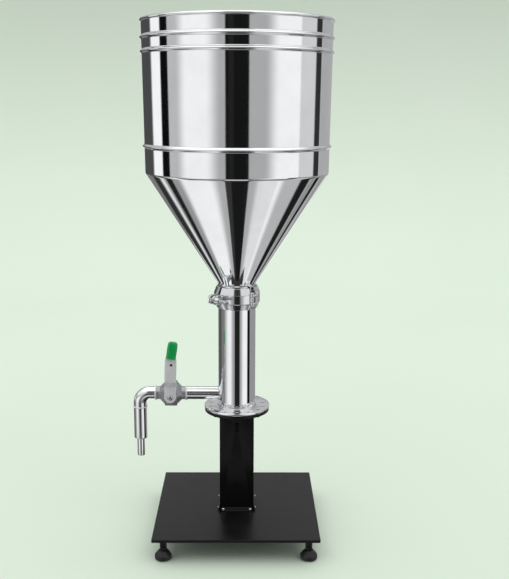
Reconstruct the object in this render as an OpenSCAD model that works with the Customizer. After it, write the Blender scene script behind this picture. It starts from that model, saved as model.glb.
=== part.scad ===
// Piston liquid filler: a hopper clamped on a pump cylinder that stands on a square post.
// Millimetres, +Z up. The origin is on the floor under the axis of the cylinder.
// The outlet points along -X and the operator stands at -Y.

/* [Base] */
// Side of the square base plate
plate_w = 330; // [280:5:380]
// Thickness of the base plate
plate_t = 6; // [5:0.5:8]
// Height of the plate's underside above the floor
floor_gap = 44; // [36:1:56]
// Distance of each foot's axis from the plate's edges
foot_inset = 21.5; // [18:0.5:50]

/* [Post] */
// Outer side of the square post
post_w = 70; // [58:1:84]
// Wall of the post
post_wall = 3; // [2.5:0.5:4]

/* [Pump cylinder] */
// Outer diameter of the cylinder tube
tube_d = 76.1; // [63:0.1:92]
// Wall of the cylinder tube
tube_wall = 1.6; // [1.5:0.1:2]
// How far the piston travels
stroke = 100; // [80:5:140]
// Clear length of the cylinder above the piston at the top of its stroke
head_room = 46.95; // [30:0.05:90]

/* [Hopper] */
// Outer diameter of the hopper at the top of its straight body
hopper_top_d = 366; // [300:2:440]
// Outer diameter of the hopper where the cone starts
hopper_low_d = 358.6; // [292:2:430]
// Height of the hopper's body from the cone to the rim
hopper_body_h = 285; // [200:5:400]
// Height of the cone
cone_h = 222; // [180:2:280]
// Sheet thickness of the hopper
sheet_t = 1.5; // [1.2:0.1:2]

/* [Outlet] */
// Outer diameter of the outlet pipe
pipe_d = 26.9; // [25.4:0.1:28]
// Distance from the cylinder axis to the valve's stem
valve_x = 135.7; // [125:0.5:160]
// Straight length between the valve's union and the outlet bend
elbow_run = 12.6; // [8:0.1:60]
// Outer diameter of the nozzle tip
nozzle_d = 15.4; // [12:0.1:18]
// Height of the nozzle's mouth above the floor
nozzle_z = 160; // [132:1:194]
// Length of the nozzle tip below the drop pipe
nozzle_len = 38.3; // [25:0.1:46]

/* [Hidden] */
$fn = 64;

// fits
run_gap = 0.05;
face_gap = 0.3;
cut = 1;

// levels above the floor
plate_top = floor_gap + plate_t;
cyl_low = plate_top + 6;
cap_h = 16;
air_rest = 4;
air_piston_h = 18;
air_room = 12;
cyl_high = cyl_low + cap_h + air_rest + air_piston_h + stroke + air_room;
spigot_h = 39;
post_top = cyl_high + cap_h + spigot_h;
post_h = post_top - plate_top;
cover_t = 7;
flange_z = post_top + cover_t;
flange_t = 4;
flange_top = flange_z + flange_t;
pipe_r = pipe_d / 2;
pipe_z = flange_top + 23.6;
piston_z = pipe_z + pipe_r + 12;
piston_h = 22;
rod_end = piston_z + piston_h + 11;
clamp_z = rod_end + stroke + head_room;
tube_h = clamp_z - flange_z;
neck_h = 27;
cone_z = clamp_z + neck_h;
body_z = cone_z + cone_h;
rim_z = body_z + hopper_body_h;

// feet
sleeve_r = 7;
stem_r = 5;
pad_h = 20;
neck_len = 7;
neck_gap = 1;
sleeve_h = floor_gap - pad_h - neck_len - neck_gap;
pad_socket = 12;
foot_offset = plate_w / 2 - foot_inset;
foot_xy = [[-1, -1], [1, -1], [-1, 1], [1, 1]];

// post foot bars
bar_t = 3;
bar_h = 8;
bar_w = post_w - 8;
bar_screw_x = post_w / 2 - 7;
bar_screw_r = 2;

// radii round the cylinder axis
tube_r = tube_d / 2;
bore_r = tube_r - tube_wall;
bolt_count = 14;
bolt_hole_r = 2.65;
bolt_head_r = 4.25;
bolt_ring_r = max(tube_r + 17, post_w / sqrt(2) + bolt_head_r + 1.3);
flange_r = bolt_ring_r + 12;
cover_r = flange_r - 1;
ferrule_r = tube_r + 4.5;
ferrule_t = 3;
ferrule_slope = tan(20);
gasket_t = 2;

// clamp
clamp_r = tube_r + 8.5;
clamp_half = 22;
clamp_band = 9;
hinge_r = clamp_r + 2;
hinge_pin_r = 2;
hinge_pin_y = 5.5;
knuckle_r = 4;
link_t = 5;
link_z = 8;
hinge_at = [315, 450];
lug_at = 220;
lug_x = clamp_r + 13.5;
lug_r = 9.5;
lug_gap = 3;
lug_t = 6;
bolt_r = 4;
bolt_pin_r = 2.2;
bolt_eye_r = 5.5;
bolt_len = 46;
washer_t = 1.6;
nut_turn = 90;

// hopper outline
hopper_r = hopper_top_d / 2;
hopper_low_r = hopper_low_d / 2;
bead_r = 3.8;
rim_r = 3.4;
bead_levels = [rim_z - 31.7, rim_z - 57.5, body_z + 51.2];
function wall_r(z) = hopper_low_r + (hopper_r - hopper_low_r) * (z - body_z) / hopper_body_h;

// outlet line
pipe_wall = 1.5;
union_x = 31.7;
union_r = pipe_r + 1.8;
union_t = 3.2;
bend_r = 20;
nozzle_x = valve_x + union_x + elbow_run + bend_r;
drop_top = pipe_z - bend_r - 9;
drop_end = nozzle_z + nozzle_len;
nozzle_r = nozzle_d / 2;
nozzle_wall = 1.2;
relief_h = 1;
relief_t = 0.5;
plug_t = 4;

// valve
ball_r = 13.5;
ball_bore_r = 8;
seat_h = 8;
body_af = 24.6;
body_len = 25;
shoulder_h = 9.8;
stem_shaft_r = 4.5;
boss_r = 10.5;
boss_y = 26;
split_x = boss_r + 0.5;
stem_start = ball_r - 4;
lever_t = 3.5;
lever_y = boss_y + 2.2;
lever_step = 9;
hub_r = 12;
lever_w = 24;
lever_waist = 22.6;
lever_hole_r = 2.8;
lever_hole_z = 71;
grip_low = 84;
grip_top = 120.4;
grip_tilt = 6.5;
lever_tilt = 2.2;

// piston and its drive
rod_r = 8;
seal_h = 4;
port_r = 5;
port_ring_r = (rod_r + bore_r - 4) / 2;
disc_r = bore_r - 7.5;
disc_t = 3;
disc_lift = 5;
collar_r = 12.5;
collar_h = 5;
spigot_w = post_w - 2 * post_wall - 0.4;
gland_r = 14;
gland_h = 22;
cap_w = post_w - 2 * post_wall - 4;
barrel_r = cap_w / 2 - 3;
barrel_bore_r = barrel_r - 2;
air_seal_z = 7;
tie_r = 3;
tie_at = cap_w / 2 - 5;
port_z = [cyl_low + cap_h / 2, cyl_high + cap_h / 2];
port_thread_r = 4.8;
wall_hole_r = 9;
fitting_r = 6;
fitting_hex_r = 6.6;
hose_r = 3.05;
collar_screw_z = [post_top - 22.5, post_top - 33.3];

// ---- helpers ----

// A tube with its axis on +Z, from z = 0 to h
module tube(r, bore, h) {
    difference() {
        cylinder(r = r, h = h);
        translate([0, 0, -cut]) cylinder(r = bore, h = h + 2 * cut);
    }
}

// Turns +Z to -X, for what lies along the outlet pipe; the start is at the valve's centre
module along_outlet(from) {
    translate([-valve_x - from, 0, pipe_z]) rotate([0, -90, 0]) children();
}

// Turns +Z to -Y, for what lies along the valve's stem
module along_stem(from) {
    translate([-valve_x, -from, pipe_z]) rotate([90, 0, 0]) children();
}

// Stands children at each foot's place
module at_foot(i) {
    translate([foot_xy[i][0] * foot_offset, foot_xy[i][1] * foot_offset, 0]) children();
}

// ---- base and post ----

module base_plate() {
    color("#232325") {
        translate([-plate_w / 2, -plate_w / 2, floor_gap]) cube([plate_w, plate_w, plate_t]);
        for (i = [0:3]) at_foot(i) translate([0, 0, floor_gap - sleeve_h])
            tube(sleeve_r, stem_r + run_gap, sleeve_h);
    }
}

// One bar along each face of the post, with a hole at each end
module foot_bar() {
    difference() {
        translate([-bar_w / 2, -post_w / 2 - bar_t, plate_top]) cube([bar_w, bar_t, bar_h]);
        for (s = [-1, 1]) translate([s * bar_screw_x, -post_w / 2 + cut, plate_top + bar_h / 2])
            rotate([90, 0, 0]) cylinder(r = bar_screw_r, h = bar_t + 2 * cut);
    }
}

module foot_bars() {
    color("#3a3a3c") for (a = [0:90:270]) rotate(a) foot_bar();
}

// Button-headed screw along +Z, with its head's underside at z = 0
module button_screw(r, head_r, head_h, len) {
    translate([0, 0, -len]) cylinder(r = r, h = len);
    difference() {
        cylinder(r1 = head_r, r2 = head_r * 0.6, h = head_h);
        translate([0, 0, head_h * 0.4]) cylinder(r = head_r * 0.38, h = head_h, $fn = 6);
    }
}

module foot_bar_screws() {
    color("#c9c9cc") for (a = [0:90:270], s = [-1, 1]) rotate(a)
        translate([s * bar_screw_x, -post_w / 2 - bar_t, plate_top + bar_h / 2])
            rotate([90, 0, 0]) button_screw(bar_screw_r, 3.2, 1.8, bar_t + post_wall);
}

module post() {
    inner = post_w - 2 * post_wall;
    color("#151517") difference() {
        translate([-post_w / 2, -post_w / 2, plate_top]) cube([post_w, post_w, post_h]);
        translate([-inner / 2, -inner / 2, plate_top - cut]) cube([inner, inner, post_h + 2 * cut]);
        for (z = port_z) translate([0, post_w / 2 + cut, z])
            rotate([90, 0, 0]) cylinder(r = wall_hole_r, h = post_wall + 2 * cut);
        for (z = collar_screw_z, a = [0, 180]) rotate(a) translate([0, -post_w / 2 - cut, z])
            rotate([-90, 0, 0]) cylinder(r = 2.5, h = post_wall + 2 * cut);
        for (a = [0:90:270], s = [-1, 1]) rotate(a)
            translate([s * bar_screw_x, -post_w / 2 - cut, plate_top + bar_h / 2])
                rotate([-90, 0, 0]) cylinder(r = bar_screw_r, h = post_wall + 2 * cut);
    }
}

module post_screws() {
    color("#1b1b1d") for (z = collar_screw_z, a = [0, 180]) rotate(a)
        translate([0, -post_w / 2, z]) rotate([90, 0, 0]) button_screw(2.5, 4.6, 2.4, post_wall + 8);
}

// ---- levelling feet ----

module foot_pad(i) {
    color("#18181a") at_foot(i) difference() {
        rotate_extrude() {
            square([10.5, pad_h]);
            intersection() {
                translate([10, 7.5]) circle(r = 7);
                translate([0, 1.5]) square([17.5, pad_h]);
            }
            square([14.5, 7]);
            translate([0, 12]) polygon([[0, 0], [13.2, 0], [10.5, 5], [8.5, pad_h - 12], [0, pad_h - 12]]);
        }
        translate([0, 0, pad_h - pad_socket]) cylinder(r = stem_r + run_gap, h = pad_socket + cut);
    }
}

module foot_stem(i) {
    low = pad_h - pad_socket + 1;
    color("#26262a") at_foot(i) {
        translate([0, 0, low]) cylinder(r = stem_r, h = floor_gap - 1.5 - low);
        translate([0, 0, pad_h]) cylinder(r = sleeve_r, h = neck_len);
    }
}

// ---- pump cylinder ----

module bottom_cover() {
    color("#1a1a1c") difference() {
        union() {
            translate([0, 0, post_top]) cylinder(r = cover_r, h = cover_t);
            translate([-spigot_w / 2, -spigot_w / 2, post_top - spigot_h])
                cube([spigot_w, spigot_w, spigot_h]);
        }
        translate([0, 0, post_top - spigot_h - cut]) cylinder(r = rod_r + 1, h = spigot_h + cover_t + 2 * cut);
        translate([0, 0, flange_z - gland_h]) cylinder(r = gland_r, h = gland_h + cut);
        for (i = [0:bolt_count - 1]) rotate(i * 360 / bolt_count - 90)
            translate([bolt_ring_r, 0, post_top - cut]) cylinder(r = bolt_hole_r, h = cover_t + 2 * cut);
        for (z = collar_screw_z, a = [0, 180]) rotate(a) translate([0, -post_w / 2, z])
            rotate([-90, 0, 0]) cylinder(r = 2.5, h = post_wall + 9);
        for (x = [-1, 1], y = [-1, 1]) translate([x * tie_at, y * tie_at, post_top - spigot_h - cut])
            cylinder(r = tie_r, h = 12 + cut);
    }
}

// Socket-head screws that come up through the cover into the flange
module flange_screws() {
    color("#1c1c1e") for (i = [0:bolt_count - 1]) rotate(i * 360 / bolt_count - 90)
        translate([bolt_ring_r, 0, 0]) {
            translate([0, 0, post_top]) cylinder(r = bolt_hole_r, h = flange_top - post_top - 1.8);
            difference() {
                translate([0, 0, post_top - 5]) cylinder(r = bolt_head_r, h = 5);
                translate([0, 0, post_top - 5 - cut]) cylinder(r = 2.3, h = 3 + cut, $fn = 6);
            }
        }
}

// Half section of a clamp ferrule whose face is at z = 0 and whose pipe runs to -Z
module ferrule_section() {
    depth = ferrule_t + (ferrule_r - tube_r) * ferrule_slope;
    polygon([[bore_r, 0], [ferrule_r, 0], [ferrule_r, -ferrule_t], [tube_r, -depth], [bore_r, -depth]]);
}

module pump_cylinder() {
    face_z = clamp_z - gasket_t / 2;
    color("#cfd1d4") difference() {
        union() {
            translate([0, 0, flange_z]) cylinder(r = flange_r, h = flange_t);
            translate([0, 0, flange_z]) cylinder(r = tube_r, h = face_z - flange_z);
            translate([0, 0, flange_top]) cylinder(r1 = tube_r + 1.8, r2 = tube_r, h = 1.8);
            translate([0, 0, face_z]) rotate_extrude() ferrule_section();
            translate([-valve_x + union_x, 0, pipe_z]) rotate([0, 90, 0])
                cylinder(r = pipe_r, h = valve_x - union_x - tube_r / 2);
        }
        translate([0, 0, flange_z - cut]) cylinder(r = bore_r, h = tube_h + 2 * cut);
        translate([-valve_x + union_x - cut, 0, pipe_z]) rotate([0, 90, 0])
            cylinder(r = pipe_r - pipe_wall, h = valve_x - union_x);
        for (i = [0:bolt_count - 1]) rotate(i * 360 / bolt_count - 90)
            translate([bolt_ring_r, 0, flange_z - cut]) cylinder(r = bolt_hole_r, h = flange_t + 2 * cut);
    }
}

module clamp_gasket() {
    color("#e8e6df") translate([0, 0, clamp_z - gasket_t / 2]) tube(ferrule_r - 0.5, bore_r, gasket_t);
}

// ---- hopper ----

cone_angle = atan((hopper_low_r - tube_r) / cone_h);
knee_run = 6;
knee_z = body_z + 8;

// Outline of the neck, the cone and the knee above it, moved inward by t
function cone_line(t) = [
    [tube_r - t, clamp_z + gasket_t / 2],
    [tube_r - t, cone_z + t * 0.3],
    [hopper_low_r - t - knee_run, body_z - knee_run / tan(cone_angle)],
    [hopper_low_r - t - 1.9, body_z - 0.6],
    [wall_r(knee_z) - t, knee_z]];

module hopper_cone() {
    inner = cone_line(sheet_t);
    color("#d4d6d9") rotate_extrude() {
        polygon(concat(cone_line(0), [for (i = [len(inner) - 1:-1:0]) inner[i]]));
        translate([0, clamp_z + gasket_t / 2]) mirror([0, 1]) ferrule_section();
    }
}

// Straight body, welded to the knee of the cone, with its beads and its rolled rim
module hopper_body() {
    color("#d4d6d9") rotate_extrude() {
        polygon([[wall_r(knee_z), knee_z], [hopper_r, rim_z], [hopper_r - sheet_t, rim_z],
                 [wall_r(knee_z) - sheet_t, knee_z]]);
        difference() {
            union() {
                for (z = bead_levels) translate([wall_r(z) - 0.4, z]) circle(r = bead_r);
                translate([hopper_r - 0.9, rim_z]) circle(r = rim_r);
            }
            polygon([[0, cone_z], [wall_r(body_z) - sheet_t / 2, body_z], [hopper_r - sheet_t / 2, rim_z],
                     [hopper_r - sheet_t / 2 - 2, rim_z + 0.1], [0, rim_z + 0.1]]);
        }
    }
}

// ---- clamp ----

// Outline of the clamp ring: a band with sloping shoulders and a groove for the ferrules
module clamp_section() {
    groove_r = ferrule_r + face_gap;
    groove_h = ferrule_t + gasket_t / 2 + face_gap;
    lip_r = tube_r + 1.2;
    lip_h = groove_h + (groove_r - lip_r) * ferrule_slope;
    difference() {
        polygon([[lip_r, -clamp_half], [lip_r + 1.8, -clamp_half], [clamp_r, -clamp_band],
                 [clamp_r, clamp_band], [lip_r + 1.8, clamp_half], [lip_r, clamp_half]]);
        polygon([[0, -lip_h], [lip_r, -lip_h], [groove_r, -groove_h],
                 [groove_r, groove_h], [lip_r, lip_h], [0, lip_h]]);
    }
}

module clamp_arc(from, to) {
    translate([0, 0, clamp_z]) rotate(from) rotate_extrude(angle = to - from) clamp_section();
}

module at_hinge(i) {
    rotate(hinge_at[i]) translate([hinge_r, 0, clamp_z]) children();
}

// The two link plates of a hinge, larger by grow on every side
module link_plates(grow) {
    for (z = [-link_z, link_z]) translate([0, 0, z - link_t / 2 - grow]) {
        for (s = [-1, 1]) translate([0, s * hinge_pin_y, 0])
            cylinder(r = knuckle_r + grow, h = link_t + 2 * grow);
        translate([-knuckle_r - grow, -hinge_pin_y, 0])
            cube([2 * (knuckle_r + grow), 2 * hinge_pin_y, link_t + 2 * grow]);
    }
}

// Knuckle barrel at one pin of a hinge
module knuckle(side) {
    translate([0, side * hinge_pin_y, -clamp_half + 8]) cylinder(r = knuckle_r, h = 2 * clamp_half - 16);
    translate([-knuckle_r, side > 0 ? hinge_pin_y : -hinge_pin_y - 6, -clamp_half + 8])
        cube([knuckle_r + 1.5, 6, 2 * clamp_half - 16]);
}

module hinge_room(i) {
    at_hinge(i) {
        link_plates(0.4);
        for (s = [-1, 1]) translate([0, s * hinge_pin_y, -clamp_half])
            cylinder(r = hinge_pin_r, h = 2 * clamp_half);
    }
}

// Lug with a round end and a slot for the bolt or its eye, on one side of the split
module lug(side) {
    slot_r = side > 0 ? bolt_r : bolt_eye_r;
    rotate(lug_at) translate([0, side > 0 ? lug_gap : -lug_gap - lug_t, clamp_z]) difference() {
        union() {
            translate([clamp_r - 4, 0, -lug_r]) cube([lug_x - clamp_r + 4, lug_t, 2 * lug_r]);
            translate([lug_x, 0, 0]) rotate([-90, 0, 0]) cylinder(r = lug_r, h = lug_t);
        }
        translate([lug_x - slot_r - 0.4, -cut, -bolt_r - 0.4])
            cube([lug_r + slot_r + cut, lug_t + 2 * cut, 2 * bolt_r + 0.8]);
    }
}

module inside_clear() {
    translate([0, 0, clamp_z - clamp_half]) cylinder(r = tube_r + 1.2, h = 2 * clamp_half);
}

module clamp_front() {
    color("#c3c5c8") difference() {
        union() {
            clamp_arc(lug_at + 4, hinge_at[0] - 9);
            at_hinge(0) knuckle(-1);
            lug(1);
        }
        hinge_room(0);
        inside_clear();
    }
}

module clamp_right() {
    color("#c3c5c8") difference() {
        union() {
            clamp_arc(hinge_at[0] + 9, hinge_at[1] - 9);
            at_hinge(0) knuckle(1);
            at_hinge(1) knuckle(-1);
        }
        hinge_room(0);
        hinge_room(1);
        inside_clear();
    }
}

module clamp_left() {
    color("#c3c5c8") difference() {
        union() {
            clamp_arc(hinge_at[1] + 9, lug_at + 356);
            at_hinge(1) knuckle(1);
            lug(-1);
        }
        hinge_room(1);
        inside_clear();
        at_bolt_pin() translate([0, 0, -clamp_half]) cylinder(r = bolt_pin_r, h = 2 * clamp_half);
    }
}

module hinge_links() {
    color("#b6b8bb") for (i = [0, 1]) at_hinge(i) difference() {
        link_plates(0);
        for (s = [-1, 1]) translate([0, s * hinge_pin_y, -clamp_half])
            cylinder(r = hinge_pin_r, h = 2 * clamp_half);
    }
}

module hinge_pins() {
    color("#aeb0b3") for (i = [0, 1], s = [-1, 1]) at_hinge(i)
        translate([0, s * hinge_pin_y, -clamp_half + 7]) cylinder(r = hinge_pin_r, h = 2 * clamp_half - 14);
}

// Places children on the clamp bolt's axis: +Z runs out through the nut
module along_bolt(from) {
    rotate(lug_at) translate([lug_x, from, clamp_z]) rotate([-90, 0, 0]) children();
}

// Places children on the upright pin that the clamp bolt swings on
module at_bolt_pin() {
    rotate(lug_at) translate([lug_x, -lug_gap - lug_t / 2, clamp_z]) children();
}

module swing_bolt() {
    color("#b9bbbe") difference() {
        union() {
            along_bolt(-lug_gap - lug_t / 2) cylinder(r = bolt_r, h = bolt_len);
            at_bolt_pin() translate([0, 0, -bolt_r - 0.3]) cylinder(r = bolt_eye_r, h = 2 * bolt_r + 0.6);
        }
        at_bolt_pin() translate([0, 0, -clamp_half]) cylinder(r = bolt_pin_r, h = 2 * clamp_half);
    }
}

module bolt_pin() {
    color("#aeb0b3") at_bolt_pin() translate([0, 0, -lug_r]) cylinder(r = bolt_pin_r, h = 2 * lug_r);
}

module nut_washer() {
    color("#c3c5c8") along_bolt(lug_gap + lug_t) tube(8, bolt_r + run_gap, washer_t);
}

module wing_nut() {
    color("#c3c5c8") along_bolt(lug_gap + lug_t + washer_t) rotate(nut_turn) difference() {
        union() {
            cylinder(r1 = 7.5, r2 = 6, h = 9);
            for (s = [-1, 1]) translate([0, 1.5, 0]) rotate([90, 0, 0]) linear_extrude(3) union() {
                polygon([[s * 4, 1], [s * 7, 1], [s * 13, 9], [s * 9, 15], [s * 4, 8.5]]);
                translate([s * 10, 12]) circle(r = 3.4);
            }
        }
        translate([0, 0, -cut]) cylinder(r = bolt_r + run_gap, h = 30);
    }
}

// ---- outlet and valve ----

module union_rings() {
    color("#dedfe1") for (s = [-1, 1]) along_outlet(s * union_x - union_t / 2)
        tube(union_r, pipe_r, union_t);
}

// Octagonal barrel with sloping shoulders down to the pipe, from the valve's centre
module valve_shoulder(r_from) {
    cylinder(r1 = r_from, r2 = pipe_r, h = shoulder_h);
}

module valve_body() {
    half = body_len / 2;
    color("#b4b5b7") difference() {
        union() {
            along_outlet(-half) rotate(22.5) cylinder(r = body_af / cos(22.5), h = half + split_x, $fn = 8);
            along_outlet(-half) mirror([0, 0, 1]) valve_shoulder(body_af - 1);
            along_outlet(-union_x) cylinder(r = pipe_r, h = 15);
            along_stem(0) cylinder(r = boss_r, h = boss_y);
        }
        along_outlet(-union_x - cut) cylinder(r = pipe_r - pipe_wall, h = union_x);
        along_outlet(-ball_r - 3) cylinder(r = ball_r + 0.5, h = 2 * ball_r + 20);
        along_stem(0) cylinder(r = stem_shaft_r + run_gap, h = boss_y + cut);
        along_stem(boss_y - 4) cylinder(r = 7, h = 4 + cut);
    }
}

module valve_end() {
    half = body_len / 2;
    color("#b4b5b7") difference() {
        union() {
            along_outlet(split_x) rotate(22.5) cylinder(r = body_af / cos(22.5), h = half - split_x, $fn = 8);
            along_outlet(half) valve_shoulder(body_af - 1);
            along_outlet(half) cylinder(r = pipe_r, h = union_x - half);
        }
        along_outlet(0) cylinder(r = pipe_r - pipe_wall, h = union_x + cut);
        along_outlet(0) cylinder(r = ball_r + 0.5, h = ball_r + 3);
    }
}

module valve_seats() {
    color("#f2f1ec") for (s = [-1, 1]) difference() {
        along_outlet(s > 0 ? ball_r + 3 - seat_h : -ball_r - 3) cylinder(r = ball_r + 0.5, h = seat_h);
        translate([-valve_x, 0, pipe_z]) sphere(r = ball_r + face_gap);
        along_outlet(-union_x) cylinder(r = ball_bore_r + 0.5, h = 2 * union_x);
    }
}

module valve_ball() {
    color("#dcdde0") difference() {
        translate([-valve_x, 0, pipe_z]) sphere(r = ball_r);
        translate([-valve_x, 0, pipe_z - ball_r - cut]) cylinder(r = ball_bore_r, h = 2 * ball_r + 2 * cut);
        along_stem(stem_start) cylinder(r = stem_shaft_r, h = ball_r);
    }
}

module valve_stem() {
    color("#c9cacd") along_stem(stem_start)
        cylinder(r = stem_shaft_r, h = lever_y + lever_t - stem_start);
}

module stem_packing() {
    color("#f2f1ec") along_stem(boss_y - 4) tube(7, stem_shaft_r + run_gap, 3.5);
}

module gland_nut() {
    color("#c9cacd") along_stem(boss_y) tube(9, stem_shaft_r + run_gap, 1.6);
}

// Face outline of the lever, with the stem's axis at the origin and the lever up
module lever_face() {
    circle(r = hub_r);
    polygon([[-hub_r + 0.2, 0], [hub_r - 0.2, 0], [lever_waist / 2, 30], [lever_w / 2, 52], [lever_w / 2, 80],
             [9.5, 92], [-9.5, 92], [-lever_w / 2, 80], [-lever_w / 2, 52], [-lever_waist / 2, 30]]);
    translate([0, grip_low]) rotate(-grip_tilt) translate([-7, -2]) square([14, grip_top - grip_low - 2]);
}

// Edge outline of the lever: the hub lies on the stem and the arm steps out to clear the pipe
module lever_edge() {
    polygon([[0, -20], [lever_t, -20], [lever_t, 22], [lever_t + lever_step, 36], [lever_t + lever_step, 130],
             [lever_step, 130], [lever_step, 37], [0, 23]]);
}

module at_lever() {
    translate([-valve_x, 0, pipe_z]) rotate([0, lever_tilt, 0]) children();
}

module lever() {
    color("#d9dadc") at_lever() difference() {
        intersection() {
            translate([0, -lever_y + 30, 0]) rotate([90, 0, 0]) linear_extrude(60) lever_face();
            translate([-40, -lever_y, 0]) rotate([90, 0, 90]) linear_extrude(80)
                mirror([1, 0]) lever_edge();
        }
        translate([1, -lever_y + 5, lever_hole_z]) rotate([90, 0, 0]) cylinder(r = lever_hole_r, h = 40);
        translate([0, -lever_y + 5, 0]) rotate([90, 0, 0]) cylinder(r = stem_shaft_r, h = 40);
    }
}

// Black plug in the lever's spare hole
module lever_plug() {
    color("#18181a") at_lever() translate([1, -lever_y - lever_step, lever_hole_z]) rotate([90, 0, 0])
        cylinder(r = lever_hole_r, h = lever_t - 0.5);
}

module lever_nut() {
    color("#c9cacd") along_stem(lever_y + lever_t) {
        cylinder(r = 6, h = 2.2);
        translate([0, 0, 2.2]) cylinder(r1 = 6, r2 = 4.2, h = 1.8);
    }
}

module lever_grip() {
    grip_t = 11;
    color("#0c9a52") at_lever() translate([0, -lever_y - lever_step - lever_t / 2, grip_low])
        rotate([0, grip_tilt, 0]) difference() {
            union() {
                translate([-10.3, -grip_t / 2, 0]) cube([20.6, grip_t, grip_top - grip_low - 4]);
                translate([-7.3, -grip_t / 2, 0]) cube([14.6, grip_t, grip_top - grip_low - 1]);
                for (s = [-1, 1]) translate([s * 7.3, grip_t / 2, grip_top - grip_low - 4])
                    rotate([90, 0, 0]) cylinder(r = 3, h = grip_t);
            }
            translate([-7, -lever_t / 2, -cut]) cube([14, lever_t, grip_top - grip_low - 4 + cut]);
            translate([-12, -lever_t / 2, -cut]) cube([24, lever_t, 8.5 + cut]);
        }
}

module outlet_elbow() {
    inner_r = pipe_r - pipe_wall;
    start = valve_x + union_x;
    color("#d0d2d5") difference() {
        union() {
            translate([-nozzle_x + bend_r, 0, pipe_z - bend_r]) rotate([90, 0, 0]) rotate([0, 0, 90])
                rotate_extrude(angle = 90) translate([bend_r, 0]) circle(r = pipe_r);
            translate([-start, 0, pipe_z]) rotate([0, -90, 0]) cylinder(r = pipe_r, h = nozzle_x - bend_r - start);
            translate([-nozzle_x, 0, drop_top]) cylinder(r = pipe_r, h = pipe_z - bend_r - drop_top);
        }
        translate([-nozzle_x + bend_r, 0, pipe_z - bend_r]) rotate([90, 0, 0]) rotate([0, 0, 90])
            rotate_extrude(angle = 90) translate([bend_r, 0]) circle(r = inner_r);
        translate([-start + cut, 0, pipe_z]) rotate([0, -90, 0])
            cylinder(r = inner_r, h = nozzle_x - bend_r - start + cut);
        translate([-nozzle_x, 0, drop_top - cut]) cylinder(r = inner_r, h = pipe_z - bend_r - drop_top + cut);
    }
}

module drop_ring() {
    color("#dedfe1") translate([-nozzle_x, 0, drop_top - 1]) tube(pipe_r + 1.4, pipe_r, 2);
}

module drop_pipe() {
    color("#d0d2d5") translate([-nozzle_x, 0, 0]) difference() {
        translate([0, 0, drop_end]) cylinder(r = pipe_r, h = drop_top - drop_end);
        translate([0, 0, drop_end + plug_t]) cylinder(r = pipe_r - pipe_wall, h = drop_top - drop_end);
        translate([0, 0, drop_end - cut]) cylinder(r = nozzle_r - relief_t, h = plug_t + 2 * cut);
    }
}

// Tip with a narrower neck that passes through the drop pipe's end and a collar that rests inside it
module nozzle_tip() {
    bore = nozzle_r - nozzle_wall;
    color("#e3e4e6") translate([-nozzle_x, 0, 0]) {
        translate([0, 0, nozzle_z]) tube(nozzle_r, bore, nozzle_len - relief_h);
        translate([0, 0, drop_end - relief_h]) tube(nozzle_r - relief_t, bore, relief_h + plug_t);
        translate([0, 0, drop_end + plug_t]) tube(nozzle_r + 3, bore, 3);
    }
}

// ---- piston ----

module piston() {
    groove_r = bore_r - 4;
    color("#f0efe9") difference() {
        translate([0, 0, piston_z]) cylinder(r = bore_r - face_gap, h = piston_h);
        translate([0, 0, piston_z - cut]) cylinder(r = rod_r, h = piston_h + 2 * cut);
        for (i = [0:5]) rotate(i * 60) translate([port_ring_r, 0, piston_z - cut])
            cylinder(r = port_r, h = piston_h + 2 * cut);
        for (z = [3, piston_h - 3 - seal_h]) translate([0, 0, piston_z + z])
            tube(bore_r + 1, groove_r, seal_h);
    }
}

module piston_seals() {
    color("#2c2c2e") for (z = [3, piston_h - 3 - seal_h]) translate([0, 0, piston_z + z])
        tube(bore_r - run_gap, bore_r - 4, seal_h);
}

module check_disc() {
    color("#dcdde0") translate([0, 0, piston_z - disc_lift - disc_t])
        tube(disc_r, rod_r + run_gap, disc_t);
}

module piston_collar() {
    color("#c9cacd") {
        translate([0, 0, piston_z - disc_lift - disc_t - collar_h]) tube(collar_r, rod_r, collar_h);
        translate([0, 0, piston_z + piston_h]) difference() {
            cylinder(r = collar_r, h = 8, $fn = 6);
            translate([0, 0, -cut]) cylinder(r = rod_r, h = 8 + 2 * cut);
        }
    }
}

module piston_rod() {
    low = cyl_low + cap_h + air_rest;
    color("#d9dadc") translate([0, 0, low]) cylinder(r = rod_r, h = rod_end - low);
}

module rod_bush() {
    color("#b08a3e") translate([0, 0, flange_z - gland_h]) tube(gland_r, rod_r + run_gap, gland_h - 7);
}

module rod_seal() {
    color("#2c2c2e") translate([0, 0, flange_z - 7]) tube(gland_r, rod_r + run_gap, 6);
}

// ---- air cylinder in the post ----

module air_barrel() {
    color("#9fa1a5") translate([0, 0, cyl_low + cap_h]) tube(barrel_r, barrel_bore_r, cyl_high - cyl_low - cap_h);
}

module air_caps() {
    color("#8c8e92") for (i = [0, 1]) difference() {
        translate([-cap_w / 2, -cap_w / 2, port_z[i] - cap_h / 2]) cube([cap_w, cap_w, cap_h]);
        if (i == 1) translate([0, 0, port_z[i] - cap_h / 2 - cut])
            cylinder(r = rod_r + run_gap, h = cap_h + 2 * cut);
        for (x = [-1, 1], y = [-1, 1]) translate([x * tie_at, y * tie_at, port_z[i] - cap_h / 2 - cut])
            cylinder(r = tie_r, h = cap_h + 2 * cut);
        translate([0, cap_w / 2 + cut, port_z[i]]) rotate([90, 0, 0]) cylinder(r = port_thread_r, h = 12 + cut);
        translate([0, barrel_bore_r - 3.5, port_z[i] - (i == 1 ? cap_h : 0)]) cylinder(r = 2, h = cap_h);
    }
}

module tie_rods() {
    color("#aeb0b3") for (x = [-1, 1], y = [-1, 1]) translate([x * tie_at, y * tie_at, cyl_low - 5])
        cylinder(r = tie_r, h = cyl_high + cap_h + 12 - cyl_low + 5);
}

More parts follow.
